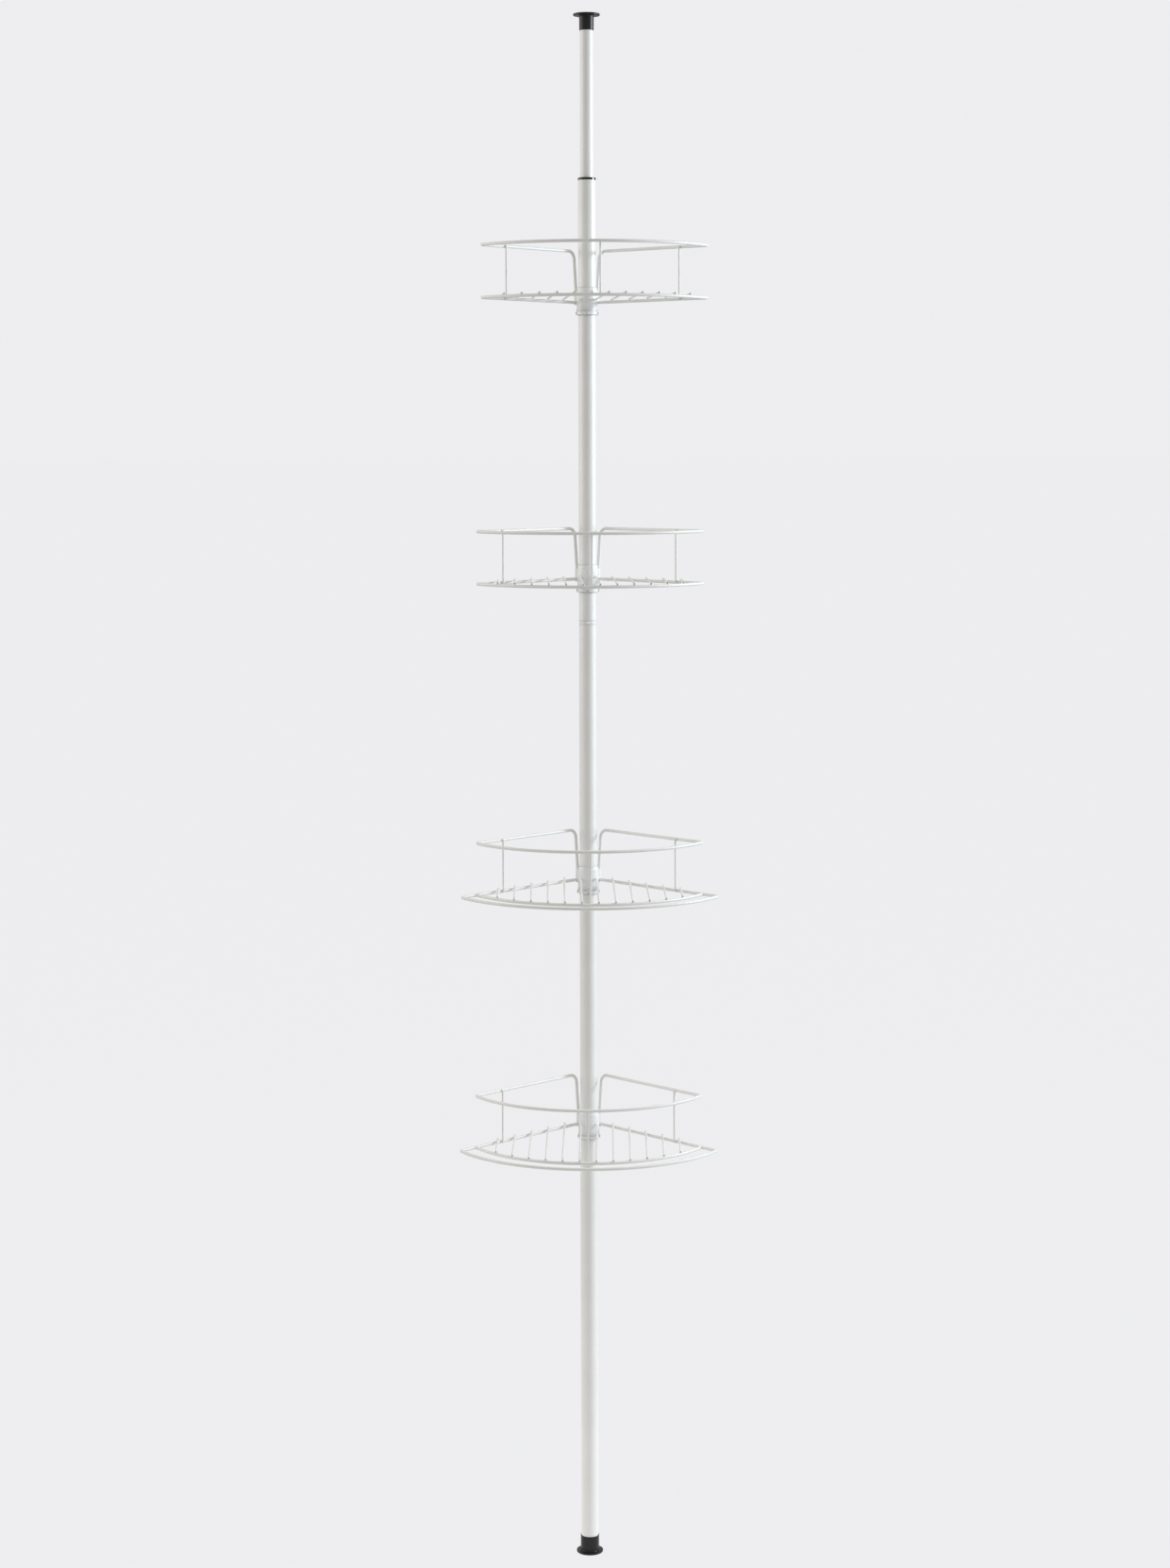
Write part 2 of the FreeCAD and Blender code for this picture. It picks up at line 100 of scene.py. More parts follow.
@dataclass(frozen=True)
class Socket:
    """An output of a node, with arithmetic that adds Math nodes to its tree."""

    graph: "Graph"
    output: bpy.types.NodeSocket

    __add__ = maths("ADD")
    __radd__ = maths("ADD", True)
    __sub__ = maths("SUBTRACT")
    __rsub__ = maths("SUBTRACT", True)
    __mul__ = maths("MULTIPLY")
    __rmul__ = maths("MULTIPLY", True)
    __truediv__ = maths("DIVIDE")
    __pow__ = maths("POWER")
    least = maths("MINIMUM")
    most = maths("MAXIMUM")
    exceeds = maths("GREATER_THAN")
    root = maths("SQRT")
    size = maths("ABSOLUTE")

    def ramp(self, low: float, high: float) -> "Socket":
        """Smooth step from 0 at low to 1 at high."""
        sockets = {"Value": self, "From Min": low, "From Max": high}
        return self.graph.node("ShaderNodeMapRange", sockets, interpolation_type="SMOOTHSTEP")[0]


Value = Socket | float | int | bool | str | tuple[float, ...] | Material


@dataclass(frozen=True)
class Outputs:
    """The outputs of one new node."""

    graph: "Graph"
    made: bpy.types.Node

    def __getitem__(self, key: str | int) -> Socket:
        """Output by name or number."""
        return Socket(self.graph, self.made.outputs[key])


@dataclass(frozen=True)
class Graph:
    """A shader or geometry tree that is being built."""

    tree: bpy.types.NodeTree

    @classmethod
    def of(cls, owner: Material | bpy.types.World) -> "Graph":
        """Empties the tree of a material or world.

        Args:
            owner: The material or world.

        Returns:
            Its tree, ready for nodes.
        """
        owner.use_nodes = True
        owner.node_tree.nodes.clear()
        return cls(owner.node_tree)

    def node(self, kind: str, sockets: dict[str | int, Value] | None = None, **settings: Any) -> Outputs:
        """Adds a node.

        Args:
            kind: Blender's name of the node's type.
            sockets: Numbers or links by the input's name or number.
            settings: Properties, which are set first.

        Returns:
            The node's outputs.
        """
        made = self.tree.nodes.new(kind)
        for name, value in settings.items():
            setattr(made, name, value)
        for key, value in (sockets or {}).items():
            if isinstance(value, Socket):
                self.tree.links.new(value.output, made.inputs[key])
            else:
                made.inputs[key].default_value = value
        return Outputs(self, made)

    def attribute(self, name: str) -> Socket:
        """Number that a piece's attribute of this name holds."""
        return self.node("ShaderNodeAttribute", attribute_name=name)["Fac"]

    def noise(self, place: Socket, scale: float, detail: float = 2.0, rough: float = 0.5) -> Socket:
        """Noise between about 0.3 and 0.7, with so many features to the metre.

        Args:
            place: Coordinates.
            scale: Features per metre.
            detail: Number of finer layers.
            rough: Strength of the finer layers.

        Returns:
            The noise's height.
        """
        sockets = {"Vector": place, "Scale": scale, "Detail": detail, "Roughness": rough}
        return self.node("ShaderNodeTexNoise", sockets)["Fac"]

    def stretched(self, place: Socket, scale: Place) -> Socket:
        """Coordinates scaled along each axis."""
        return self.node("ShaderNodeMapping", {"Vector": place, "Scale": scale})[0]

    def blend(self, share: Value, first: Value, second: Value) -> Socket:
        """Colour between two colours."""
        return self.node("ShaderNodeMix", {0: share, 6: first, 7: second}, data_type="RGBA")[2]

    def bump(self, height: Value, depth: float, strength: float) -> Socket:
        """Normal of a surface that rises by depth, in metres, where height is 1."""
        sockets = {"Height": height, "Distance": depth, "Strength": strength}
        return self.node("ShaderNodeBump", sockets)[0]


# ---- finishes ----
class Slot(Enum):
    """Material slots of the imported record."""

    TUBE = "tube_coat"
    WIRE = "wire_coat"
    COLLAR = "collar_plastic"
    CLIP = "clip_plastic"
    COUPLER = "coupler_plastic"
    FOOT = "foot_plastic"
    BUSH = "bush_plastic"
    SPRING = "spring_steel"


@dataclass(frozen=True)
class Finish:
    """A material with one Principled shader."""

    name: str

    def inputs(self, graph: Graph, place: Socket) -> dict[str, Value]:
        """Shader inputs: numbers, and nodes that change over the surface with its coordinates."""
        raise NotImplementedError

    def build(self) -> Material:
        """Makes the material.

        Returns:
            The material, with its shader joined to its output.
        """
        material = bpy.data.materials.new(self.name)
        graph = Graph.of(material)
        place = graph.node("ShaderNodeTexCoord")["Object"]
        shader = graph.node("ShaderNodeBsdfPrincipled", self.inputs(graph, place))[0]
        graph.node("ShaderNodeOutputMaterial", {"Surface": shader})
        return material


def patchy(graph: Graph, mark: Socket, place: Socket, scale: float) -> Socket:
    """Mark with an uneven edge, at most 1."""
    return mark * (0.6 + graph.noise(place, scale) * 0.8)


def painted_seam_shade(graph: Graph, place: Socket) -> Socket:
    """Uneven painted shade where a piece's point attribute marks a seam, a gap or a lug."""
    return patchy(graph, graph.attribute("painted_shade"), place, 420.0).least(1.0)


@dataclass(frozen=True)
class PowderCoat(Finish):
    """Baked white paint on steel, soiled where hands go; an attribute named bare thins it."""

    colour: Colour = (0.80, 0.795, 0.77, 1.0)
    soiled: Colour = (0.70, 0.69, 0.655, 1.0)
    thin: Colour = (0.42, 0.405, 0.38, 1.0)
    # Colour of the painted shade at seams and tube mouths.
    painted_shade: Colour = (0.24, 0.235, 0.22, 1.0)
    roughness: float = 0.36
    coat: float = 0.25
    peel_per_metre: float = 700.0
    peel_depth: float = 0.03 * MM

    def inputs(self, graph: Graph, place: Socket) -> dict[str, Value]:
        """Orange peel, soiling, worn ends and painted shade at seams and mouths.

        Args:
            graph: The material's tree.
            place: Coordinates on the piece.

        Returns:
            Numbers and links by the name of the shader's input.
        """
        peel = graph.noise(place, self.peel_per_metre, 1.0)
        fine = graph.noise(place, self.peel_per_metre * 4, 1.0)
        drift = graph.noise(place, 9.0, 3.0, 0.6)
        smudge = graph.noise(place, 60.0, 4.0, 0.65).ramp(0.5, 0.78)
        bare = graph.attribute("bare")
        clean = graph.blend(drift.ramp(0.35, 0.7) * 0.35, self.colour, self.soiled)
        used = graph.blend(smudge * 0.18, clean, self.soiled)
        thinned = patchy(graph, bare, place, 1500.0)
        # Painted shade where the piece's attribute marks seams and mouths.
        seam_shade = painted_seam_shade(graph, place)
        worn = graph.blend(thinned.least(1.0), used, self.thin)
        return {
            "IOR": 1.5,
            "Coat Roughness": 0.2,
            "Coat Weight": self.coat,
            "Base Color": graph.blend(seam_shade, worn, self.painted_shade),
            "Roughness": self.roughness + (drift - 0.5) * 0.12 + smudge * 0.1 + (bare + seam_shade) * 0.2,
            "Normal": graph.bump(peel + fine * 0.3, self.peel_depth, 0.6),
        }


@dataclass(frozen=True)
class MouldedPlastic(Finish):
    """Milky injection-moulded plastic with a fine mould texture and faint flow marks."""

    colour: Colour
    deep: Colour
    # Colour of the painted shade at seams, edges and lugs.
    painted_shade: Colour = (0.20, 0.20, 0.20, 1.0)
    roughness: float = 0.32
    grain_per_metre: float = 2600.0
    grain_depth: float = 0.012 * MM
    milkiness: float = 0.2
    light_reach: float = 1.2 * MM

    def inputs(self, graph: Graph, place: Socket) -> dict[str, Value]:
        """Mould grain, flow marks, handling, and painted shade at seams, edges and lugs.

        Args:
            graph: The material's tree.
            place: Coordinates on the piece.

        Returns:
            Numbers and links by the name of the shader's input.
        """
        grain = graph.noise(place, self.grain_per_metre)
        flow = graph.noise(graph.stretched(place, (90.0, 90.0, 260.0)), 1.0, 3.0, 0.6)
        handled = graph.noise(place, 140.0, 3.0, 0.6).ramp(0.5, 0.75)
        milky = graph.blend(flow.ramp(0.35, 0.68) * 0.5, self.colour, self.deep)
        # Painted shade where the piece's attribute marks seams, edges and lugs.
        seam_shade = painted_seam_shade(graph, place)
        return {
            "IOR": 1.49,
            "Subsurface Weight": self.milkiness,
            "Subsurface Radius": (1.0, 1.0, 1.0),
            "Subsurface Scale": self.light_reach,
            "Base Color": graph.blend(seam_shade, milky, self.painted_shade),
            "Roughness": self.roughness + (flow - 0.5) * 0.16 + (handled + seam_shade) * 0.12,
            "Normal": graph.bump(grain + flow * 0.6, self.grain_depth, 0.5),
        }


@dataclass(frozen=True)
class BlackPlastic(Finish):
    """Black moulded plastic with a satin skin, hairline scuffs and dust that dulls it."""

    colour: Colour = (0.008, 0.0078, 0.0076, 1.0)
    dust: Colour = (0.050, 0.047, 0.043, 1.0)
    roughness: float = 0.26
    dustiness: float = 0.3
    gloss: float = 0.32
    scuff_depth: float = 0.01 * MM

    def inputs(self, graph: Graph, place: Socket) -> dict[str, Value]:
        """Clouds and specks of dust, and scuffs.

        Args:
            graph: The material's tree.
            place: Coordinates on the piece.

        Returns:
            Numbers and links by the name of the shader's input.
        """
        cloud = graph.noise(place, 95.0, 4.0, 0.6).ramp(0.42, 0.75)
        specks = graph.noise(place, 1900.0).ramp(0.6, 0.72)
        hair = graph.stretched(place, (260.0, 260.0, 2600.0))
        scuffs = graph.noise(hair, 1.0, 2.0, 0.7).ramp(0.56, 0.66)
        dull = cloud * self.dustiness
        return {
            "IOR": 1.5,
            "Specular IOR Level": self.gloss,
            "Base Color": graph.blend(dull * 0.35 + specks * cloud * 0.3, self.colour, self.dust),
            "Roughness": self.roughness + dull * 0.5 + scuffs * 0.14,
            "Normal": graph.bump(scuffs * -0.5 + cloud * 0.2, self.scuff_depth, 0.5),
        }


@dataclass(frozen=True)
class DrawnSteel(Finish):
    """Oiled spring wire with fine drawing lines."""

    colour: Colour = (0.36, 0.355, 0.345, 1.0)
    oiled: Colour = (0.17, 0.155, 0.13, 1.0)
    line_depth: float = 0.008 * MM

    def inputs(self, graph: Graph, place: Socket) -> dict[str, Value]:
        """Drawing lines and oil.

        Args:
            graph: The material's tree.
            place: Coordinates on the piece.

        Returns:
            Numbers and links by the name of the shader's input.
        """
        lines = graph.noise(graph.stretched(place, (900.0, 900.0, 4200.0)), 1.0)
        oil = graph.noise(place, 160.0, 3.0).ramp(0.42, 0.7)
        return {
            "Metallic": 1.0,
            "Base Color": graph.blend(oil * 0.7, self.colour, self.oiled),
            "Roughness": 0.3 + lines * 0.15 - oil * 0.1,
            "Normal": graph.bump(lines, self.line_depth, 0.6),
        }


@dataclass(frozen=True)
class Finishes:
    """All the finishes of the unit, one for each slot."""

    materials: dict[Slot, Material]

    @classmethod
    def made(cls) -> "Finishes":
        """Builds every finish.

        Returns:
            The finishes, by slot.
        """
        milky, deep = (0.80, 0.80, 0.795, 1.0), (0.74, 0.745, 0.74, 1.0)
        # The coupler's white is brighter than the tube coat, so that its key shows as a painted highlight
        # beside the shaded ring.
        white, shaded = (0.88, 0.88, 0.87, 1.0), (0.85, 0.85, 0.84, 1.0)
        wire = {"colour": (0.775, 0.77, 0.745, 1.0), "roughness": 0.45, "coat": 0.1}
        recipes = {
            Slot.TUBE: PowderCoat("baked_white_tube", peel_per_metre=480.0),
            Slot.WIRE: PowderCoat("baked_white_wire", peel_per_metre=900.0, peel_depth=0.012 * MM, **wire),
            Slot.COLLAR: MouldedPlastic("milky_collar", milky, deep),
            Slot.CLIP: MouldedPlastic("milky_clip", milky, deep, roughness=0.27, milkiness=0.3),
            Slot.COUPLER: MouldedPlastic("white_coupler", white, shaded, milkiness=0.1),
            Slot.FOOT: BlackPlastic("satin_black_foot"),
            Slot.BUSH: BlackPlastic("black_bush", roughness=0.1, dustiness=0.1, gloss=0.5),
            Slot.SPRING: DrawnSteel("spring_wire"),
        }
        return cls({slot: recipe.build() for slot, recipe in recipes.items()})

    def dress(self, piece: Piece, slot: Slot, body: str, *nodes: str) -> None:
        """Gives a finished piece its material, its body and the CAD nodes it stands for.

        Args:
            piece: The piece, with its place in its mesh.
            slot: Whose finish it takes.
            body: Body that it rides on.
            nodes: CAD nodes that it replaces.
        """
        piece.data.materials.clear()
        piece.data.materials.append(self.materials[slot])
        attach(piece, body)
        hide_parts(*nodes)
        LOG.info("%s rides on %s, %d faces", piece.name, body, len(piece.data.polygons))


# ---- meshes ----
SHARP_ANGLE = math.radians(38)
TURN_SEGMENTS = 96
ROUNDING_STEP = math.radians(20)
DIAGONAL = math.sqrt(0.5)


@dataclass(frozen=True)
class Corner:
    """A corner of a profile, at a distance from the axis and a height, and its rounding."""

    across: float
    height: float
    rounding: float = 0.0


def millimetres(*rows: tuple[float, ...]) -> list[Corner]:
    """Corners from rows of distance, height and, if any, rounding, all in millimetres."""
    return [Corner(*(value * MM for value in row)) for row in rows]


def rounded(corners: Sequence[Corner], closed: bool) -> list[tuple[float, float]]:
    """Points of a profile with its corners rounded and each rounding held by a near point.

    Args:
        corners: The profile's corners in order.
        closed: Whether the last corner joins the first.

    Returns:
        Distances from the axis and heights.
    """
    points: list[tuple[float, float]] = []
    count = len(corners)
    for index, corner in enumerate(corners):
        here = Vector((corner.across, corner.height))
        at_end = not closed and index in (0, count - 1)
        if at_end or corner.rounding <= 0:
            points.append(tuple(here))
            continue
        before = corners[index - 1]
        after = corners[(index + 1) % count]
        back = Vector((before.across, before.height)) - here
        ahead = Vector((after.across, after.height)) - here
        room = min(back.length, ahead.length)
        back.normalize()
        ahead.normalize()
        half = back.angle(ahead) / 2
        reach = min(corner.rounding / math.tan(half), room * 0.45)
        radius = reach * math.tan(half)
        centre = here + (back + ahead).normalized() * (radius / math.sin(half))
        start = here + back * reach - centre
        end = here + ahead * reach - centre
        steps = max(2, math.ceil(start.angle(end) / ROUNDING_STEP))
        hold = min(reach * 0.5, room * 0.04)
        points.append(tuple(here + back * (reach + hold)))
        for step in range(steps + 1):
            points.append(tuple(centre + start.slerp(end, step / steps) * radius))
        points.append(tuple(here + ahead * (reach + hold)))
    return points


def linked(name: str, data: bpy.types.ID) -> Piece:
    """Links a new object to the scene.

    Args:
        name: The object's name.
        data: Its mesh, light or camera.

    Returns:
        The object.
    """
    piece = bpy.data.objects.new(name, data)
    bpy.context.scene.collection.objects.link(piece)
    return piece


@dataclass(frozen=True)
class Seam:
    """A ring round the pole that gets painted shade: between two heights and two radii."""

    low: float
    high: float
    beyond: float
    amount: float
    within: float = 100 * MM

    def holds(self, place: Vector) -> bool:
        """Whether a point lies in the ring."""
        across = math.hypot(place.x, place.y)
        return self.low <= place.z <= self.high and self.beyond <= across <= self.within


def finished_mesh(name: str, shape: Shape, *seams: Seam, outward: bool = True) -> Piece:
    """Turns an edited mesh into an object, smooth except at its sharp edges.

    Args:
        name: The object's name.
        shape: The mesh, which is freed.
        seams: Seams whose points an attribute marks for painted shade.
        outward: Whether its faces are turned outwards first.

    Returns:
        The object.
    """
    if outward:
        bmesh.ops.recalc_face_normals(shape, faces=shape.faces)
    for face in shape.faces:
        face.smooth = True
    for edge in shape.edges:
        edge.smooth = len(edge.link_faces) != 2 or edge.calc_face_angle(0.0) < SHARP_ANGLE
    mesh = bpy.data.meshes.new(name)
    shape.to_mesh(mesh)
    shape.free()
    if seams:
        # Point attribute that sets the strength of the painted shade.
        marks = mesh.attributes.new("painted_shade", "FLOAT", "POINT")
        for vertex, mark in zip(mesh.vertices, marks.data):
            mark.value = max((seam.amount for seam in seams if seam.holds(vertex.co)), default=0.0)
    return linked(name, mesh)


def skinned(shape: Shape, rows: Sequence[Sequence], closed: bool, wrap: bool) -> None:
    """Joins rows of vertices with faces; a row of one vertex is a pole.

    Args:
        shape: The mesh that holds the vertices.
        rows: The rows in order.
        closed: Whether the last row joins the first.
        wrap: Whether each row closes on itself; if not, both its ends are capped.
    """
    for lower, upper in zip(rows, [*rows[1:], rows[0]] if closed else rows[1:]):
        count = max(len(lower), len(upper))
        for index in range(count if wrap else count - 1):
            following = (index + 1) % count
            ring = []
            for row, order in ((lower, (index, following)), (upper, (following, index))):
                ring.extend([row[0]] if len(row) == 1 else [row[place] for place in order])
            shape.faces.new(ring)
    for column in () if wrap else (0, -1):
        shape.faces.new([row[column] for row in rows])


def polar(shape: Shape, reach: float, angle: float, height: float) -> bmesh.types.BMVert:
    """Adds a vertex by distance from the axis, angle and height."""
    return shape.verts.new((reach * math.cos(angle), reach * math.sin(angle), height))


def turned(
    corners: Sequence[Corner],
    start: float = 0.0,
    sweep: float = math.tau,
    segments: int = TURN_SEGMENTS,
    shape: Shape | None = None,
) -> Shape:
    """Makes a body of revolution about the Z axis.

    Args:
        corners: Profile; one that starts and ends on the axis is solid, any other is a ring.
        start: Angle where a part turn starts.
        sweep: Angle of the turn.
        segments: Steps of a whole turn.
        shape: Mesh that receives it, or none for a new one.

    Returns:
        The mesh.
    """
    shape = bmesh.new() if shape is None else shape
    solid = corners[0].across == 0 and corners[-1].across == 0
    whole = sweep >= math.tau
    steps = segments if whole else max(4, round(segments * sweep / math.tau))
    angles = [start + sweep * step / steps for step in range(steps if whole else steps + 1)]
    rows = [
        [polar(shape, across, angle, height) for angle in (angles if across > 0 else [0.0])]
        for across, height in rounded(corners, not solid)
    ]
    skinned(shape, rows, not solid, whole)
    caps = [face for face in shape.faces if len(face.verts) > 4]
    bmesh.ops.triangulate(shape, faces=caps, ngon_method="EAR_CLIP")
    return shape


def block(shape: Shape, first: Vector, second: Vector, rounding: float) -> None:
    """Adds a block with rounded edges between two opposite corners.

    Args:
        shape: Mesh that receives it.
        first: One corner.
        second: The corner opposite to it.
        rounding: Radius of its edges.
    """
    size = [abs(span) for span in second - first]
    place = Matrix.Translation((first + second) / 2) @ Matrix.Diagonal((*size, 1.0))
    verts = bmesh.ops.create_cube(shape, size=1.0, matrix=place)["verts"]
    edges = list({edge for vert in verts for edge in vert.link_edges})
    bmesh.ops.bevel(shape, geom=edges, offset=rounding, segments=3, profile=0.5, affect="EDGES")


def moved(piece: Piece, height: float, turn: float = 0.0, axis: str = "Z") -> Piece:
    """Turns a piece's mesh about an axis and lifts it, leaving its object at the origin."""
    piece.data.transform(Matrix.Translation((0, 0, height)) @ Matrix.Rotation(turn, 4, axis))
    return piece


def arc(centre: Vector, start: Vector, end: Vector, step: float) -> Line:
    """Points of an arc under half a turn.

    Args:
        centre: The arc's centre.
        start: First point.
        end: Last point.
        step: Largest angle between two points, in degrees.

    Returns:
        Points from start to end.
    """
    first = start - centre
    last = end - centre
    count = max(2, math.ceil(first.angle(last) / math.radians(step)))
    return [centre + first.slerp(last, index / count) * first.length for index in range(count + 1)]


def flipped(points: Line) -> Line:
    """The same run on the other side of the basket, in reverse order."""
    return [Vector((-point.x, point.y, point.z)) for point in reversed(points)]


# ---- geometry nodes ----
@dataclass
class NodeTool:
    """A geometry tree with named inputs, run once on a mesh to make a plain one."""

    name: str
    body: Callable[[Graph, Outputs], Socket]
    inputs: dict[str, str]
    tree: bpy.types.NodeTree = field(init=False)
    identifiers: dict[str, str] = field(init=False)

    def __post_init__(self) -> None:
        """Builds the tree."""
        self.tree = bpy.data.node_groups.new(self.name, "GeometryNodeTree")
        sockets = self.tree.interface
        for way in ("INPUT", "OUTPUT"):
            sockets.new_socket("Geometry", in_out=way, socket_type="NodeSocketGeometry")
        self.identifiers = {}
        for name, kind in {**self.inputs, "Finish": "Material"}.items():
            made = sockets.new_socket(name, in_out="INPUT", socket_type=f"NodeSocket{kind}")
            self.identifiers[name] = made.identifier
        graph = Graph(self.tree)
        given = graph.node("NodeGroupInput")
        shaped = self.body(graph, given)
        smooth = graph.node("GeometryNodeSetShadeSmooth", {"Geometry": shaped})[0]
        real = graph.node("GeometryNodeRealizeInstances", {"Geometry": smooth})[0]
        ready = {"Geometry": real, "Material": given["Finish"]}
        coated = graph.node("GeometryNodeSetMaterial", ready)[0]
        graph.node("NodeGroupOutput", {"Geometry": coated})

    def run(self, name: str, source: bpy.types.Mesh, **values: Value) -> Piece:
        """Runs the tree and keeps its result as a plain mesh.

        Args:
            name: Name of the new object.
            source: Mesh that the tree starts from.
            values: Input values by name, with underscores for spaces.

        Returns:
            The new object.
        """
        raw = linked(name + "_line", source)
        modifier = raw.modifiers.new(self.name, "NODES")
        modifier.node_group = self.tree
        for key, value in values.items():
            modifier[self.identifiers[key.replace("_", " ")]] = value
        graph = bpy.context.evaluated_depsgraph_get()
        mesh = bpy.data.meshes.new_from_object(raw.evaluated_get(graph))
        raw.modifiers.remove(modifier)
        bpy.data.objects.remove(raw)
        mesh.name = name
        return linked(name, mesh)


def swept(graph: Graph, given: Outputs, line: Socket) -> Socket:
    """Draws round wire along curves, with its cut ends rounded and marked bare.

    Args:
        graph: The tree.
        given: The tree's inputs.
        line: The curves.

    Returns:
        The wires' mesh.
    """
    along = graph.node("GeometryNodeSplineParameter")["Length"]
    whole = graph.node("GeometryNodeSplineLength")["Length"]
    closed = graph.node("GeometryNodeInputSplineCyclic")[0]
    gone = (along.least(whole - along) / given["End Rounding"]).least(1.0)
    left = (1.0 - gone) ** 2.0
    share = (1.0 - left * 0.9).root().most(closed)
    sockets = {"Geometry": line, "Name": "bare", "Value": left * (1.0 - closed)}
    marked = graph.node("GeometryNodeStoreNamedAttribute", sockets, domain="POINT")[0]
    sockets = {"Resolution": given["Sides"], "Radius": given["Radius"]}
    ring = graph.node("GeometryNodeCurvePrimitiveCircle", sockets)[0]
    sockets = {"Curve": marked, "Profile Curve": ring, "Scale": share, "Fill Caps": True}
    return graph.node("GeometryNodeCurveToMesh", sockets)[0]


def drawn_wire(graph: Graph, given: Outputs) -> Socket:
    """Round wire along the edges of the mesh."""
    return swept(graph, given, graph.node("GeometryNodeMeshToCurve", {"Mesh": given["Geometry"]})[0])


def grid_wires(graph: Graph, given: Outputs) -> Socket:
    """Lays parallel wires at even pitch, from the side wires or the collar to the front arc.

    Args:
        graph: The tree.
        given: The tree's inputs.

    Returns:
        The wires' mesh.
    """
    half = 5.0  # steps from a wire's end to its middle
    span = (given["Count"] - 1.0) * given["Pitch"]
    start = graph.node("ShaderNodeCombineXYZ", {"X": span * -0.5})[0]
    offset = graph.node("ShaderNodeCombineXYZ", {"X": given["Pitch"]})[0]
    sockets = {"Count": given["Count"], "Start Location": start, "Offset": offset}
    spots = graph.node("GeometryNodeMeshLine", sockets)[0]
    unit = graph.node("GeometryNodeCurvePrimitiveLine", {"End": (0.0, 1.0, 0.0)})[0]
    unit = graph.node("GeometryNodeResampleCurve", {"Curve": unit, "Count": int(2 * half) + 1})[0]
    rods = graph.node("GeometryNodeInstanceOnPoints", {"Points": spots, "Instance": unit})[0]
    rods = graph.node("GeometryNodeRealizeInstances", {"Geometry": rods})[0]
    place = graph.node("ShaderNodeSeparateXYZ", {"Vector": graph.node("GeometryNodeInputPosition")[0]})
    across, along = place["X"], place["Y"]
    bow = (given["Front Radius"] ** 2.0 - across ** 2.0).root()
    front = given["Front Depth"] - given["Front Radius"] + bow
    beside = across.size().exceeds(given["Collar Reach"])
    rear = beside * (across.size() - given["Setback"]) + (1.0 - beside) * given["Collar Depth"]
    steps = (along.least(1.0 - along) * (2 * half)).least(half)
    eased = (steps / (half - 1)).least(1.0) ** 2.0 * given["End Rounding"]
    middle = steps.exceeds(half - 0.5)
    ahead = along.exceeds(0.5)
    edge = ahead * (front - eased) + (1.0 - ahead) * (rear + eased)
    depth = middle * (front + rear) * 0.5 + (1.0 - middle) * edge
    sockets = {"X": across, "Y": depth * -1.0, "Z": given["Level"]}
    level = graph.node("ShaderNodeCombineXYZ", sockets)[0]
    laid = graph.node("GeometryNodeSetPosition", {"Geometry": rods, "Position": level})[0]
    return swept(graph, given, laid)


def weld_nuggets(graph: Graph, given: Outputs) -> Socket:
    """Sets a flattened bead of fused metal at each point of the mesh.

    Args:
        graph: The tree.
        given: The tree's inputs.

    Returns:
        The beads.
    """
    bead = graph.node("GeometryNodeMeshIcoSphere", {"Radius": 1.0, "Subdivisions": 2})[0]
    flat = graph.node("GeometryNodeInputNamedAttribute", {"Name": "spread"}, data_type="FLOAT_VECTOR")[0]
    sockets = {"Min": (0.9, 0.9, 0.9), "Max": (1.12, 1.12, 1.05), "Seed": given["Seed"]}
    uneven = graph.node("FunctionNodeRandomValue", sockets, data_type="FLOAT_VECTOR")[0]
    scale = graph.node("ShaderNodeVectorMath", {0: flat, 1: uneven}, operation="MULTIPLY")[0]
    sockets = {"Points": given["Geometry"], "Instance": bead, "Scale": scale}
    return graph.node("GeometryNodeInstanceOnPoints", sockets)[0]


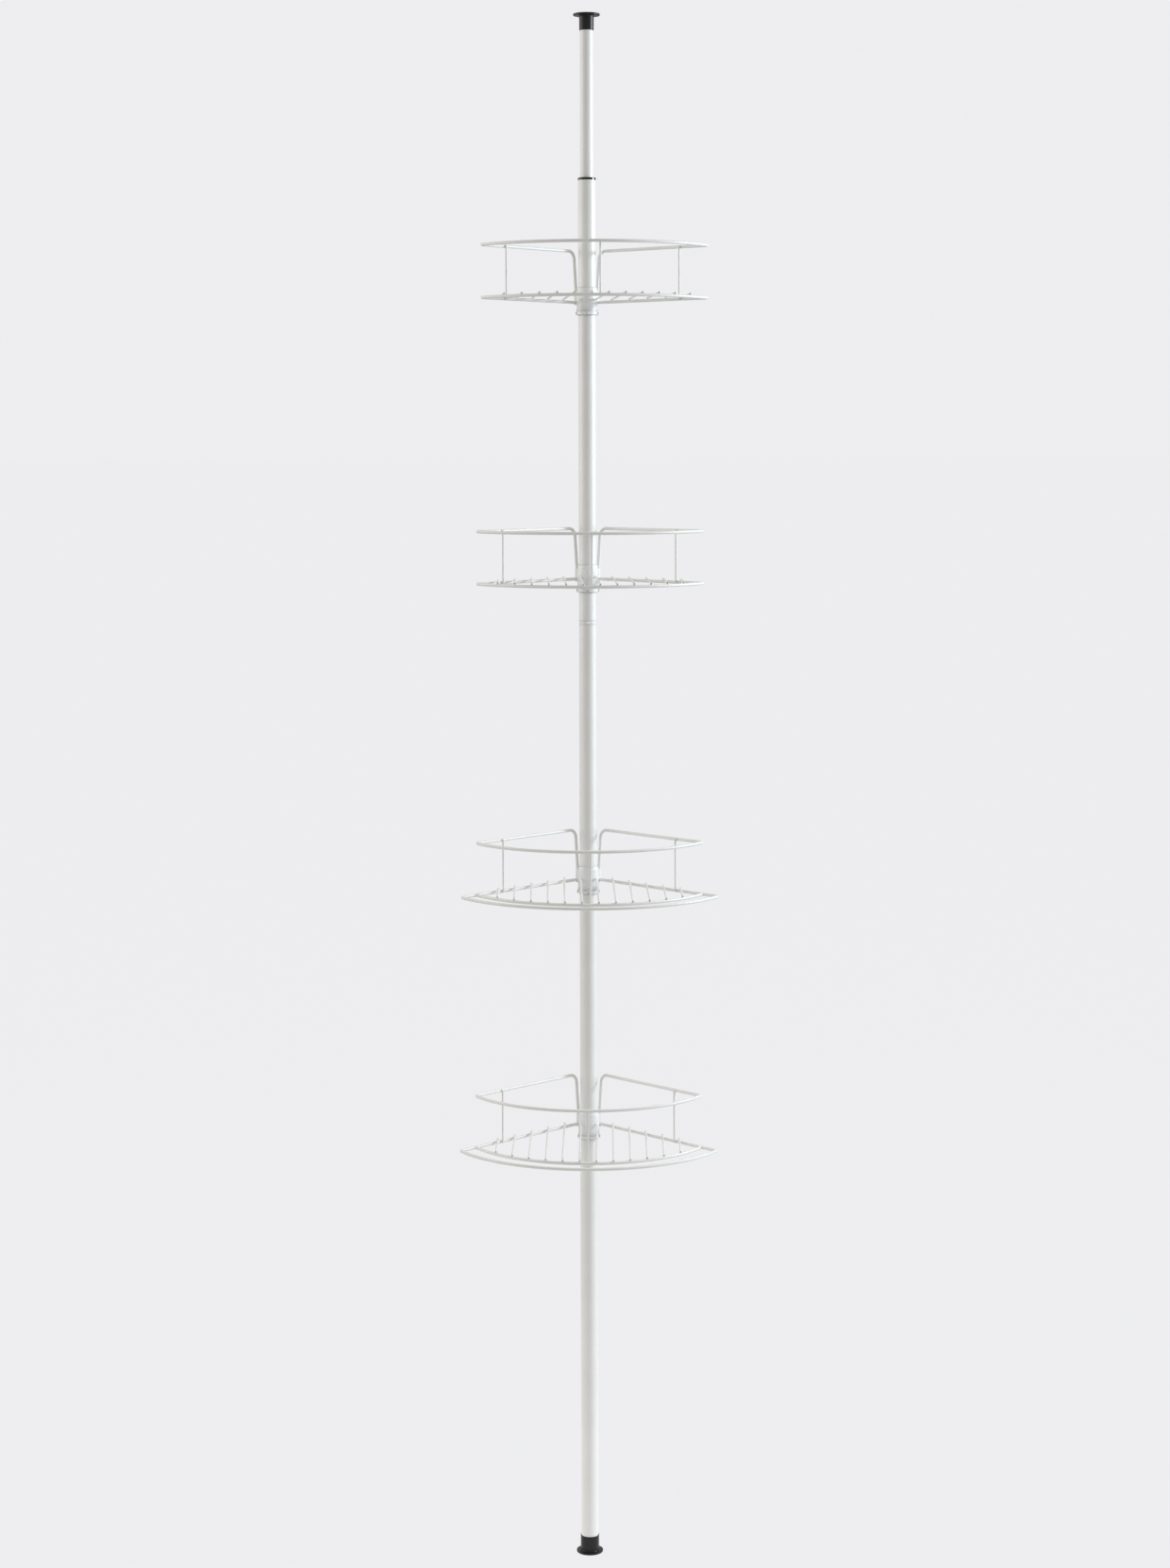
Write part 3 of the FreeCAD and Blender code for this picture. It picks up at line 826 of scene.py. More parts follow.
@dataclass
class WireShop:
    """The tools that bend, lay and weld wire."""

    finish: Material
    end_share: float = 0.45
    end_points: tuple[float, ...] = (0.0, 0.06, 0.25, 0.55, 1.0, 1.6)
    bender: NodeTool = field(init=False)
    layer: NodeTool = field(init=False)
    welder: NodeTool = field(init=False)

    def __post_init__(self) -> None:
        """Builds the three node trees."""
        size = {"Radius": "Float", "Sides": "Int", "End Rounding": "Float"}
        rule = dict.fromkeys(("Pitch", "Level", "Front Depth", "Front Radius", "Setback"), "Float")
        collar = {"Collar Reach": "Float", "Collar Depth": "Float"}
        self.bender = NodeTool("drawn_wire", drawn_wire, size)
        self.layer = NodeTool("grid_wires", grid_wires, {**size, "Count": "Int", **rule, **collar})
        self.welder = NodeTool("weld_nuggets", weld_nuggets, {"Seed": "Int"})

    def wire(
        self,
        name: str,
        runs: Sequence[Line],
        radius: float,
        closed: bool = False,
        sides: int = 20,
    ) -> Piece:
        """Bends wires.

        Args:
            name: The piece's name.
            runs: Each wire's line of points.
            radius: The wire's radius.
            closed: Whether each wire joins its own start.
            sides: Flats round the wire.

        Returns:
            The piece.
        """
        points: Line = []
        edges: list[tuple[int, int]] = []
        rounding = radius * self.end_share
        for run in runs:
            first = len(points)
            points.extend(run if closed else self._eased(run, rounding))
            edges.extend((index, index + 1) for index in range(first, len(points) - 1))
            if closed:
                edges.append((len(points) - 1, first))
        mesh = bpy.data.meshes.new(name)
        mesh.from_pydata(points, edges, [])
        sizes = {"Radius": radius, "Sides": sides, "End_Rounding": rounding}
        return self.bender.run(name, mesh, Finish=self.finish, **sizes)

    def _eased(self, run: Line, rounding: float) -> Line:
        """Adds the points near each cut end that its rounding needs.

        Args:
            run: The wire's line.
            rounding: How far from a cut end the wire starts to thin.

        Returns:
            The line with those points.
        """
        points = list(run)
        for _ in range(2):
            points.reverse()
            way = (points[1] - points[0]).normalized()
            points[:1] = [points[0] + way * rounding * share for share in self.end_points]
        return points

    def welds(self, name: str, spots: Sequence[tuple[Vector, Vector]], seed: int) -> Piece:
        """Lays weld beads.

        Args:
            name: The piece's name.
            spots: Each bead's centre and its three radii.
            seed: Seed of their unevenness.

        Returns:
            The piece.
        """
        mesh = bpy.data.meshes.new(name)
        mesh.from_pydata([place for place, _ in spots], [], [])
        spread = mesh.attributes.new("spread", "FLOAT_VECTOR", "POINT")
        for index, (_, radii) in enumerate(spots):
            spread.data[index].vector = radii
        return self.welder.run(name, mesh, Finish=self.finish, Seed=seed)


# ---- baskets ----
@dataclass(frozen=True)
class Front:
    """Front arc of a basket: its depth from the pole and its radius."""

    depth: float
    radius: float

    @property
    def centre(self) -> float:
        """Depth of the arc's centre."""
        return self.depth - self.radius

    def at(self, across: float) -> float:
        """Depth of the arc at a distance from the middle."""
        return self.centre + math.sqrt(self.radius**2 - across**2)


@dataclass(frozen=True)
class BasketPlan:
    """Sizes that all four baskets share, and the lines of their wires at the base's level."""

    frame_radius: float = 2.25 * MM
    grid_radius: float = 1.4 * MM
    grid_sides: int = 14
    grid_rounding: float = 0.6 * MM
    rear_overhang: float = 2.5 * MM
    weld_gap: float = 0.05 * MM
    collar_radius: float = 14.92 * MM
    collar_gap: float = 0.3 * MM
    rail_height: float = 73.4 * MM
    corner_radius: float = 7.0 * MM
    leg_seat_run: float = 3.8 * MM
    leg_gap: float = 0.3 * MM
    leg_splay: float = 4.0 * MM
    leg_bend: float = 12.0 * MM
    pitch: float = 23.5 * MM
    wires: int = 12
    grid_weld: Place = (2.1 * MM, 2.3 * MM, 1.15 * MM)
    strut_weld: Place = (1.7 * MM, 1.7 * MM, 2.2 * MM)
    arc_weld: Place = (2.7 * MM, 2.7 * MM, 2.45 * MM)
    arc_weld_shift: Place = (-1.6 * MM, 1.0 * MM, 0.0)
    strut_offset: float = 124.7 * MM
    strut_overlap: float = 1.0 * MM
    inner: Front = Front(229.1 * MM, 181.2 * MM)
    outer: Front = Front(261.2 * MM, 206.2 * MM)
    corner_step: float = 9.0
    bend_step: float = 8.0
    front_step: float = 2.5

    @property
    def loop_radius(self) -> float:
        """Radius of the base wire's hook behind the collar."""
        return self.collar_radius + self.frame_radius + self.weld_gap

    @property
    def setback(self) -> float:
        """Where the two sides would meet, behind the pole's axis."""
        return self.loop_radius * math.sqrt(2)

    @property
    def grid_level(self) -> float:
        """Distance of a thin wire's centre line from that of the frame wire it is welded to."""
        return self.frame_radius + self.grid_radius + self.weld_gap

    @property
    def leg_seat(self) -> float:
        """Distance of a rail's leg from the middle, at its seat on the base wire."""
        return (self.loop_radius + self.leg_seat_run) * DIAGONAL

    @staticmethod
    def point(across: float, depth: float, height: float = 0.0) -> Vector:
        """Point across the basket, out towards the front, and up."""
        return Vector((across, -depth, height))

    def side(self, across: float) -> float:
        """Depth of a side wire at a distance from the middle."""
        return abs(across) - self.setback

    def front_run(self, front: Front, height: float) -> Line:
        """Line of a wire round both rounded corners and the front arc.

        Args:
            front: The arc.
            height: The wire's level.

        Returns:
            Points from the right side to the left side.
        """
        shift = self.setback - self.corner_radius * math.sqrt(2) + front.centre
        reach = front.radius - self.corner_radius
        across = (shift + math.sqrt(2 * reach**2 - shift**2)) / 2
        depth = across - shift
        slope = DIAGONAL * self.corner_radius
        stretch = front.radius / math.hypot(across, depth)
        centre = self.point(0.0, front.centre, height)
        on_arc = centre + self.point(across, depth) * stretch
        on_side = centre + self.point(across + slope, depth - slope)
        corner = arc(centre + self.point(across, depth), on_side, on_arc, self.corner_step)
        nose = self.point(0.0, front.depth, height)
        half = corner + arc(centre, on_arc, nose, self.front_step)[1:]
        return half + flipped(half)[1:]

    def base_line(self, front: Front) -> Line:
        """Closed line of the base wire, which hooks round behind the collar.

        Args:
            front: The basket's outermost front arc.

        Returns:
            Points from behind the collar up the right side and back down the left.
        """
        touch = self.point(self.setback / 2, -self.setback / 2)
        half_hook = arc(Vector(), self.point(0.0, -self.loop_radius), touch, self.corner_step)
        return half_hook + self.front_run(front, 0.0) + flipped(half_hook)[:-1]

    def rail_line(self) -> Line:
        """Line of the top rail and both its legs.

        Returns:
            Points from the foot of the right leg to the foot of the left.
        """
        seat, top = self.leg_seat, self.leg_seat + self.leg_splay
        bottom = self.point(seat, self.side(seat), self.frame_radius + self.leg_gap)
        corner = self.point(top, self.side(top), self.rail_height)
        front = self.front_run(self.inner, self.rail_height)
        down = (bottom - corner).normalized()
        ahead = (front[0] - corner).normalized()
        half = down.angle(ahead) / 2
        reach = self.leg_bend / math.tan(half)
        centre = corner + (down + ahead).normalized() * (self.leg_bend / math.sin(half))
        bend = arc(centre, corner + down * reach, corner + ahead * reach, self.bend_step)
        start = [bottom, *bend]
        return start + front + flipped(start)

    def shelf_arc_line(self) -> Line:
        """Line of a large basket's inner front arc, into the side wires.

        Returns:
            Points from the right side to the left side.
        """
        front = self.inner
        shift = self.setback + front.centre
        across = (shift + math.sqrt(2 * front.radius**2 - shift**2)) / 2
        end = self.point(across, self.side(across))
        nose = self.point(0.0, front.depth)
        half = arc(self.point(0.0, front.centre), end, nose, self.front_step)
        return half + flipped(half)[1:]

    def strut_feet(self) -> list[tuple[float, float]]:
        """Where the three uprights stand inside the frame.

        Returns:
            Distances across and in depth, for the front one, then the right and the left one.
        """
        slope = self.grid_level * DIAGONAL
        across, depth = self.strut_offset - slope, self.side(self.strut_offset) + slope
        return [(0.0, self.inner.depth - self.grid_level), (across, depth), (-across, depth)]

    def weld_spots(self, has_bar: bool) -> list[tuple[Vector, Vector]]:
        """Beads where the grid, the uprights and the inner arc meet the frame.

        Args:
            has_bar: Whether the basket has a bar in front of its shelf arc.

        Returns:
            Each bead's centre and its radii.
        """
        spots = []
        for number in range(self.wires // 2):
            across = (number + 0.5) * self.pitch
            for depth in [self.inner.at(across)] + [self.side(across)] * (number > 0):
                for sign in (1, -1):
                    centre = self.point(sign * across, depth, self.frame_radius)
                    spots.append((centre, self.grid_weld))
        for across, depth in self.strut_feet():
            way = Vector((math.copysign(1, across), 1, 0)) if across else Vector((0, -1, 0))
            inward = way.normalized() * (self.grid_radius + self.weld_gap)
            for height in (0.0, self.rail_height):
                spots.append((self.point(across, depth, height) + inward, self.strut_weld))
        if has_bar:
            end = self.shelf_arc_line()[0] + Vector(self.arc_weld_shift)
            spots += [(Vector((sign * end.x, end.y, 0.0)), self.arc_weld) for sign in (1, -1)]
        return [(centre, Vector(radii)) for centre, radii in spots]


@dataclass(frozen=True)
class Collar:
    """Moulded sleeve of a basket, with two sockets for the rail's legs."""

    plan: BasketPlan
    bottom: float = -12.95 * MM
    top: float = 21.5 * MM
    bore_bottom: float = 13.92 * MM
    bore_top: float = 13.32 * MM
    neck_bore: float = 12.8 * MM
    neck_length: float = 4.7 * MM
    shade_band_height: float = 0.35 * MM
    socket_radius: float = 3.6 * MM
    socket_bottom: float = -3.65 * MM
    socket_top: float = 15.0 * MM
    socket_edge: float = 0.6 * MM
    socket_root: float = 0.5 * MM
    socket_skin: float = 0.1 * MM
    socket_span: float = 17.0
    socket_steps: int = 44
    fillet: float = 1.1 * MM

    def socket_reach(self, angle: float) -> float:
        """Distance of a socket's skin from the axis.

        Args:
            angle: Angle from the socket's middle.

        Returns:
            The distance, on the socket's pillar or on the fillet beside it.
        """
        centre = math.hypot(self.plan.leg_seat, self.plan.side(self.plan.leg_seat))
        tangent = math.asin(self.socket_radius / centre)
        radius = self.plan.collar_radius
        if abs(angle) >= tangent:
            flank = math.sqrt(centre**2 - self.socket_radius**2)
            fall = (abs(angle) - tangent) * centre / self.fillet
            return radius + (flank - radius) * max(0.0, 1 - fall) ** 2
        return centre * math.cos(angle) + math.sqrt(self.socket_radius**2 - (centre * math.sin(angle)) ** 2)

    def build(self, name: str) -> Piece:
        """Makes the collar with its base wire at height 0.

        Args:
            name: The piece's name.

        Returns:
            The piece.
        """
        radius, bottom, top = self.plan.collar_radius, self.bottom, self.top
        corners = [
            Corner(self.bore_bottom, bottom, 0.15 * MM),
            Corner(radius - 0.4 * MM, bottom, 0.3 * MM),
            Corner(radius, bottom + 7.0 * MM, 12.0 * MM),
            Corner(radius, top - 5.0 * MM, 2.0 * MM),
            Corner(radius - 0.8 * MM, top - 1.2 * MM, 1.0 * MM),
            Corner(self.neck_bore + 0.7 * MM, top, 0.3 * MM),
            Corner(self.neck_bore, top, 0.15 * MM),
            Corner(self.neck_bore, top - self.neck_length),
            Corner(self.bore_top, top - self.neck_length),
        ]
        shape = turned(corners)
        angle = math.atan2(-self.plan.side(self.plan.leg_seat), self.plan.leg_seat)
        for centre in (angle, math.pi - angle):
            self._socket(shape, centre)
        # Painted shade: the neck's rim and the sleeve's lower edge are darkened, for the shade at the
        # collar's top and in the gap above the clip.
        mouth = Seam(top - self.shade_band_height, top, self.bore_top, 0.55)
        skirt = Seam(bottom, bottom + self.shade_band_height, self.bore_top, 0.2)
        return finished_mesh(name, shape, mouth, skirt)

    def _socket(self, shape: Shape, centre: float) -> None:
        """Adds one socket: a round pillar that flows into the sleeve on both sides.

        Args:
            shape: The collar's mesh.
            centre: Angle of the socket's middle.
        """
        root = self.plan.collar_radius - self.socket_root
        edge = self.socket_edge
        turns = [math.radians(degrees) for degrees in (0, 30, 60, 90)]
        rims = [(edge * (1 - math.cos(turn)), edge * (1 - math.sin(turn))) for turn in turns]
        belts = [(self.socket_bottom + rise, inset) for rise, inset in rims]
        belts += [(height * MM, 0.0) for height in (0.0, 5.0, 10.0)]
        belts += [(self.socket_top - rise, inset) for rise, inset in reversed(rims)]
        span = math.radians(self.socket_span)
        angles = [(step / self.socket_steps * 2 - 1) * span for step in range(self.socket_steps + 1)]
        rows = []
        for height, inset in belts:
            reaches = [self.socket_reach(angle) for angle in angles]
            reaches = [max(reach - inset, min(reach, root + self.socket_skin)) for reach in reaches]
            spots = zip(reaches, angles)
            rows.append([polar(shape, reach, centre + angle, height) for reach, angle in spots])
        for place, height in ((0, self.socket_bottom), (len(belts) + 1, self.socket_top)):
            rows.insert(place, [polar(shape, root, centre + angle, height) for angle in angles])
        skinned(shape, rows, True, False)


@dataclass(frozen=True)
class SplitClip:
    """Two-part wedge that grips the pole under a collar."""

    bore: float = 12.56 * MM
    flange: float = 15.16 * MM
    flange_height: float = 5.6 * MM
    bottom_wall: float = 1.3 * MM
    top_wall: float = 0.7 * MM
    collar_bottom: float = -13.2 * MM
    top: float = 16.5 * MM
    lug_root: float = 1.6 * MM
    lug_reach: float = 1.1 * MM
    lug_thickness: float = 2.2 * MM
    lug_height: float = 3.6 * MM
    lug_rounding: float = 0.5 * MM
    rib_half: float = 0.8 * MM
    rib_proud: float = 0.3 * MM
    rib_root: float = 1.0 * MM
    rib_rise: float = 1.0 * MM
    rib_overlap: float = 0.2 * MM
    rib_rounding: float = 0.25 * MM
    split: float = 0.4 * MM
    seam: float = 0.5 * MM

    def half(self, name: str, front: bool) -> Piece:
        """Makes one half.

        Args:
            name: The piece's name.
            front: Whether it is the half on the baskets' side of the pole.

        Returns:
            The piece, with its collar's base wire at height 0.
        """
        under = self.collar_bottom - self.flange_height
        seat = self.collar_bottom - self.seam / 2
        margin = self.split / 2 / self.bore
        corners = [
            Corner(self.bore, under, 0.3 * MM),
            Corner(self.flange, under, 0.8 * MM),
            Corner(self.flange, seat, 0.45 * MM),
            Corner(self.bore + self.bottom_wall, seat, 0.1 * MM),
            Corner(self.bore + self.top_wall, self.top, 0.2 * MM),
            Corner(self.bore, self.top, 0.1 * MM),
        ]
        shape = turned(corners, math.pi + margin if front else margin, math.pi - 2 * margin)
        low = under + (self.flange_height - self.lug_height) / 2
        facing = -1 if front else 1
        for sign in (1, -1):
            near = Vector((sign * (self.flange - self.lug_root), facing * self.split / 2, low))
            size = (sign * (self.lug_root + self.lug_reach), facing * self.lug_thickness, self.lug_height)
            block(shape, near, near + Vector(size), self.lug_rounding)
        if front:
            foot = Vector((-self.rib_half, -self.flange - self.rib_proud, under + self.rib_rise))
            top = self.collar_bottom + self.rib_overlap
            head = Vector((self.rib_half, -self.flange + self.rib_root, top))
            block(shape, foot, head, self.rib_rounding)
        # Painted shade: darkens the flange's top edge under the collar, its lower edge and the lugs.
        top_edge = Seam(seat - 0.5 * MM, seat, self.bore, 0.15)
        foot_edge = Seam(under, under + 0.85 * MM, self.bore, 0.55)
        lugs = Seam(under, seat, self.flange + 0.2 * MM, 0.8)
        return finished_mesh(name, shape, top_edge, foot_edge, lugs)


@dataclass
class WireBasket:
    """One basket: its rail, base, grid, uprights, collar and, on a large one, its inner arc."""

    tier: str
    swing: float
    has_bar: bool
    plan: BasketPlan = field(default_factory=BasketPlan)

    def build(self, shop: WireShop, finishes: Finishes, seed: int) -> None:
        """Makes and dresses the basket and its clip.

        Args:
            shop: Tools for the wires.
            finishes: The unit's finishes.
            seed: Seed of the welds' unevenness.
        """
        low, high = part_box(f"{self.tier}_base_frame")
        height = (low.z + high.z) / 2
        plan, tier, body = self.plan, self.tier, f"{self.tier}_basket"
        base = [plan.base_line(plan.outer if self.has_bar else plan.inner)]
        pieces = {
            "rail": shop.wire(f"{tier}_rail_wire", [plan.rail_line()], plan.frame_radius),
            "base_frame": shop.wire(f"{tier}_base_wire", base, plan.frame_radius, True),
            "cross_wires": self._grid(shop),
            "struts": self._struts(shop),
        }
        if self.has_bar:
            inner = [plan.shelf_arc_line()]
            pieces["shelf_arc"] = shop.wire(f"{tier}_inner_arc", inner, plan.frame_radius)
        for node, piece in pieces.items():
            finishes.dress(moved(piece, height, self.swing), Slot.WIRE, body, f"{tier}_{node}")
        welds = shop.welds(f"{tier}_weld_beads", plan.weld_spots(self.has_bar), seed)
        finishes.dress(moved(welds, height, self.swing), Slot.WIRE, body)
        collar = Collar(plan).build(f"{tier}_moulded_collar")
        finishes.dress(moved(collar, height, self.swing), Slot.COLLAR, body, f"{tier}_collar")
        for side in ("front", "back"):
            half = SplitClip().half(f"{tier}_wedge_{side}", side == "front")
            finishes.dress(moved(half, height), Slot.CLIP, f"{tier}_clip", f"{tier}_clip_{side}")

    def _grid(self, shop: WireShop) -> Piece:
        """Lays the basket's parallel wires.

        Args:
            shop: Tools for the wires.

        Returns:
            The piece.
        """
        plan = self.plan
        inner_edge = plan.pitch / 2 - plan.grid_radius
        return shop.layer.run(
            f"{self.tier}_grid_wires",
            bpy.data.meshes.new("grid_seed"),
            Finish=shop.finish,
            Radius=plan.grid_radius,
            Sides=plan.grid_sides,
            End_Rounding=plan.grid_rounding,
            Count=plan.wires,
            Pitch=plan.pitch,
            Level=plan.grid_level,
            Front_Depth=plan.inner.depth + plan.frame_radius,
            Front_Radius=plan.inner.radius,
            Setback=plan.setback + plan.frame_radius * math.sqrt(2) + plan.rear_overhang,
            Collar_Reach=plan.pitch,
            Collar_Depth=math.sqrt(plan.collar_radius**2 - inner_edge**2) + plan.collar_gap,
        )

    def _struts(self, shop: WireShop) -> Piece:
        """Makes the three uprights.

        Args:
            shop: Tools for the wires.

        Returns:
            The piece.
        """
        plan = self.plan
        ends = (-plan.strut_overlap, plan.rail_height / 2, plan.rail_height + plan.strut_overlap)
        runs = [[plan.point(*foot, height) for height in ends] for foot in plan.strut_feet()]
        return shop.wire(f"{self.tier}_uprights", runs, plan.grid_radius, sides=plan.grid_sides)


# ---- pole ----
def levels(node: str) -> tuple[float, float]:
    """Heights of a CAD node's lower and upper end, in millimetres."""
    low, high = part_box(node)
    return low.z / MM, high.z / MM


@dataclass
class TensionPole:
    """Main tubes, sprung top tube, their joints and the two feet, with sizes in millimetres."""

    finishes: Finishes
    tube: float = 12.5
    tube_bore: float = 11.7
    top_tube: float = 9.5
    top_bore: float = 8.7
    mouth_rounding: float = 0.3
    plug: float = 11.65
    slider: float = 11.64
    play: float = 0.05
    gap: float = 0.02
    slack: float = 0.001
    sole: float = 19.3
    sole_height: float = 3.0
    groove_depth: float = 0.8

    def build(self) -> None:
        """Makes and dresses every piece of the pole."""
        for node in ("lower_tube", "upper_tube"):
            self._tube(node, "pole", self.tube, self.tube_bore)
        self._tube("top_tube", "top_section", self.top_tube, self.top_bore)
        self._coupler()
        self._guide()
        self._slider()
        self._seat()
        self._foot("bottom_foot", "pole", self.tube + self.play, False)
        self._foot("top_foot", "top_section", self.top_tube + self.play, True)

    def _tube(self, node: str, body: str, outer: float, bore: float) -> None:
        """Makes a steel tube with deburred mouths.

        Args:
            node: The CAD node that it stands for.
            body: Body that it rides on.
            outer: Its outer radius.
            bore: Its inner radius.
        """
        low, high = levels(node)
        edge = self.mouth_rounding
        rows = ((bore, low, 0.15), (outer, low, edge), (outer, high, edge), (bore, high, 0.15))
        # Painted shade on both mouths, for the dark lines where the tube meets its neighbours.
        rims = ((low - self.slack, low + edge * 1.05), (high - edge * 1.05, high + self.slack))
        seams = [Seam(start * MM, end * MM, bore * MM, 0.6) for start, end in rims]
        piece = finished_mesh(f"{node}_coated", turned(millimetres(*rows)), *seams)
        self.finishes.dress(piece, Slot.TUBE, body, node)

    def _coupler(self) -> None:
        """Makes the plug between the main tubes, with its ring and domed key."""
        low, high = levels("tube_coupler")
        under, over = levels("lower_tube")[1], levels("upper_tube")[0]
        plug, bore, ring = self.plug, 9.45, 12.65
        start, end = under + self.gap, over - self.gap
        rows = [(bore, low, 0.2), (plug, low, 0.5), (plug, start), (ring, start, 0.35)]
        rows += [(ring, end, 0.35), (plug, end), (plug, high, 0.5), (bore, high, 0.2)]
        key = millimetres((0.0, 11.9), (2.1, 11.9), (2.1, 12.95, 0.4), (1.0, 13.35, 1.2), (0.0, 13.42))
        shape = turned(key, segments=32)
        facing = Matrix.Rotation(math.pi / 2, 4, "X")
        shape.transform(Matrix.Translation((0, 0, (under + over) / 2 * MM)) @ facing)
        shape = turned(millimetres(*rows), shape=shape)
        # Painted shade on both joint lines and, more faintly, on the whole ring, so that the unmarked domed
        # key looks lit: a painted highlight.
        seams = (
            Seam(under * MM, (under + 0.4) * MM, bore * MM, 0.5),
            Seam((over - 0.4) * MM, over * MM, bore * MM, 0.5),
            Seam(under * MM, over * MM, plug * MM, 0.16, (ring + 0.1) * MM),
        )
        piece = finished_mesh("coupler_ring", shape, *seams)
        self.finishes.dress(piece, Slot.COUPLER, "pole", "tube_coupler")

    def _bush(self, name: str, body: str, node: str, rows: list[tuple[float, ...]]) -> None:
        """Turns a black bush from its profile and dresses it."""
        piece = finished_mesh(name, turned(millimetres(*rows)))
        self.finishes.dress(piece, Slot.BUSH, body, node)

    def _guide(self) -> None:
        """Makes the ring on the pole's mouth, with the sleeve that guides the top tube."""
        low, high = levels("guide_bush")
        mouth = levels("upper_tube")[1] + self.gap
        bore, ring = self.top_tube + 0.06, 12.95
        rows = [(bore, low, 0.3), (self.plug, low, 0.4), (self.plug, mouth), (ring, mouth, 0.3)]
        rows += [(ring, high - 0.3, 0.6), (11.4, high, 1.0), (bore, high, 0.25)]
        self._bush("guide_ring", "pole", "guide_bush", rows)

    def _slider(self) -> None:
        """Makes the cup on the top tube's lower end."""
        low, high = levels("slider_bush")
        floor, bore = low + 3.0, self.top_tube + self.play
        rows = [(0.0, low), (self.slider, low, 0.6), (self.slider, high, 0.4)]
        rows += [(bore, high, 0.2), (bore, floor, 0.2), (0.0, floor)]
        self._bush("slider_cup", "top_section", "slider_bush", rows)

    def _seat(self) -> None:
        """Makes the plug under the spring, with the spigot that centres it."""
        low, high = levels("spring_seat")
        step, spigot = high - 6.0, 8.0
        rows = [(0.0, low), (self.plug, low, 0.5), (self.plug, step, 0.4)]
        rows += [(spigot, step, 0.3), (spigot, high, 1.2), (0.0, high)]
        self._bush("spring_plug", "pole", "spring_seat", rows)

    def _foot(self, node: str, body: str, bore: float, sole_up: bool) -> None:
        """Makes a foot with a thin flange, a cup for the tube and a ringed sole.

        Args:
            node: The CAD node that it stands for.
            body: Body that it rides on.
            bore: Radius of the cup's bore.
            sole_up: Whether its sole is on top.
        """
        low, high = levels(node)
        height, sole, floor, cup = high - low, self.sole, self.sole_height, bore + 1.0
        rows = [(0.0, 0.0)]
        for inner, outer in ((8.7, 10.7), (13.5, 15.5)):
            rows += [(inner, 0.0, 0.2), (inner + 0.2, self.groove_depth, 0.25)]
            rows += [(outer - 0.2, self.groove_depth, 0.25), (outer, 0.0, 0.2)]
        rows += [(sole, 0.0, 0.9), (sole, floor, 0.9), (cup + 0.05, floor, 1.3), (cup - 0.12, height, 0.45)]
        rows += [(bore, height, 0.25), (bore, floor, 0.3), (0.0, floor)]
        piece = finished_mesh(f"{node}_moulded", turned(millimetres(*rows)))
        moved(piece, (high if sole_up else low) * MM, math.pi if sole_up else 0.0, "X")
        self.finishes.dress(piece, Slot.FOOT, body, node)


@dataclass
class Spring:
    """Compression spring between its plug and the slider."""

    wire: float = 1.1 * MM
    sides: int = 10
    radius: float = 9.4 * MM
    turns: int = 12
    end_turns: int = 1
    gap: float = 0.3 * MM
    steps: int = 32

    def line(self, bottom: float, length: float) -> Line:
        """Centre line of the coil, with its end turns closed.

        Args:
            bottom: Height of its lower end.
            length: Distance between its two seats.

        Returns:
            Points from the lower to the upper end.
        """
        closed_pitch = 2 * self.wire + self.gap
        opening = length - 2 * self.wire - 2 * self.gap - self.turns * closed_pitch
        open_turns = self.turns - 2 * self.end_turns
        points = []
        for step in range(self.turns * self.steps + 1):
            turn = step / self.steps
            opened = min(max(turn - self.end_turns, 0), open_turns) / open_turns * opening
            height = bottom + self.gap + self.wire + turn * closed_pitch + opened
            across = Vector((math.cos(math.tau * turn), math.sin(math.tau * turn), 0.0))
            points.append(across * self.radius + Vector((0, 0, height)))
        return points

    def build(self, shop: WireShop, finishes: Finishes, travel: float) -> None:
        """Makes and dresses the spring.

        Args:
            shop: Tools for the wire.
            finishes: The unit's finishes.
            travel: Lowest position of the top tube, from rest; not used.
        """
        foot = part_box("slider_bush")[0].z
        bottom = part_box("spring")[0].z - self.gap
        length = foot - bottom
        piece = shop.wire("coil_spring", [self.line(bottom, length)], self.wire, sides=self.sides)
        finishes.dress(piece, Slot.SPRING, "pole", "spring")
        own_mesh(piece)


# ---- studio ----
@dataclass(frozen=True)
class Lamp:
    """A soft round lamp beside the pole, aimed at the pole and itself out of sight."""

    name: str
    place: Place
    width: float
    watts: float
    colour: Place
    aim_height: float = 1.1

    def build(self) -> None:
        """Adds the lamp."""
        data = bpy.data.lights.new(self.name, "AREA")
        data.shape = "DISK"
        data.size = self.width
        data.energy = self.watts
        data.color = self.colour
        lamp = linked(self.name, data)
        lamp.location = self.place
        away = Vector(self.place) - Vector((0.0, 0.0, self.aim_height))
        lamp.rotation_mode = "QUATERNION"
        lamp.rotation_quaternion = away.to_track_quat("Z", "Y")
        lamp.visible_camera = False


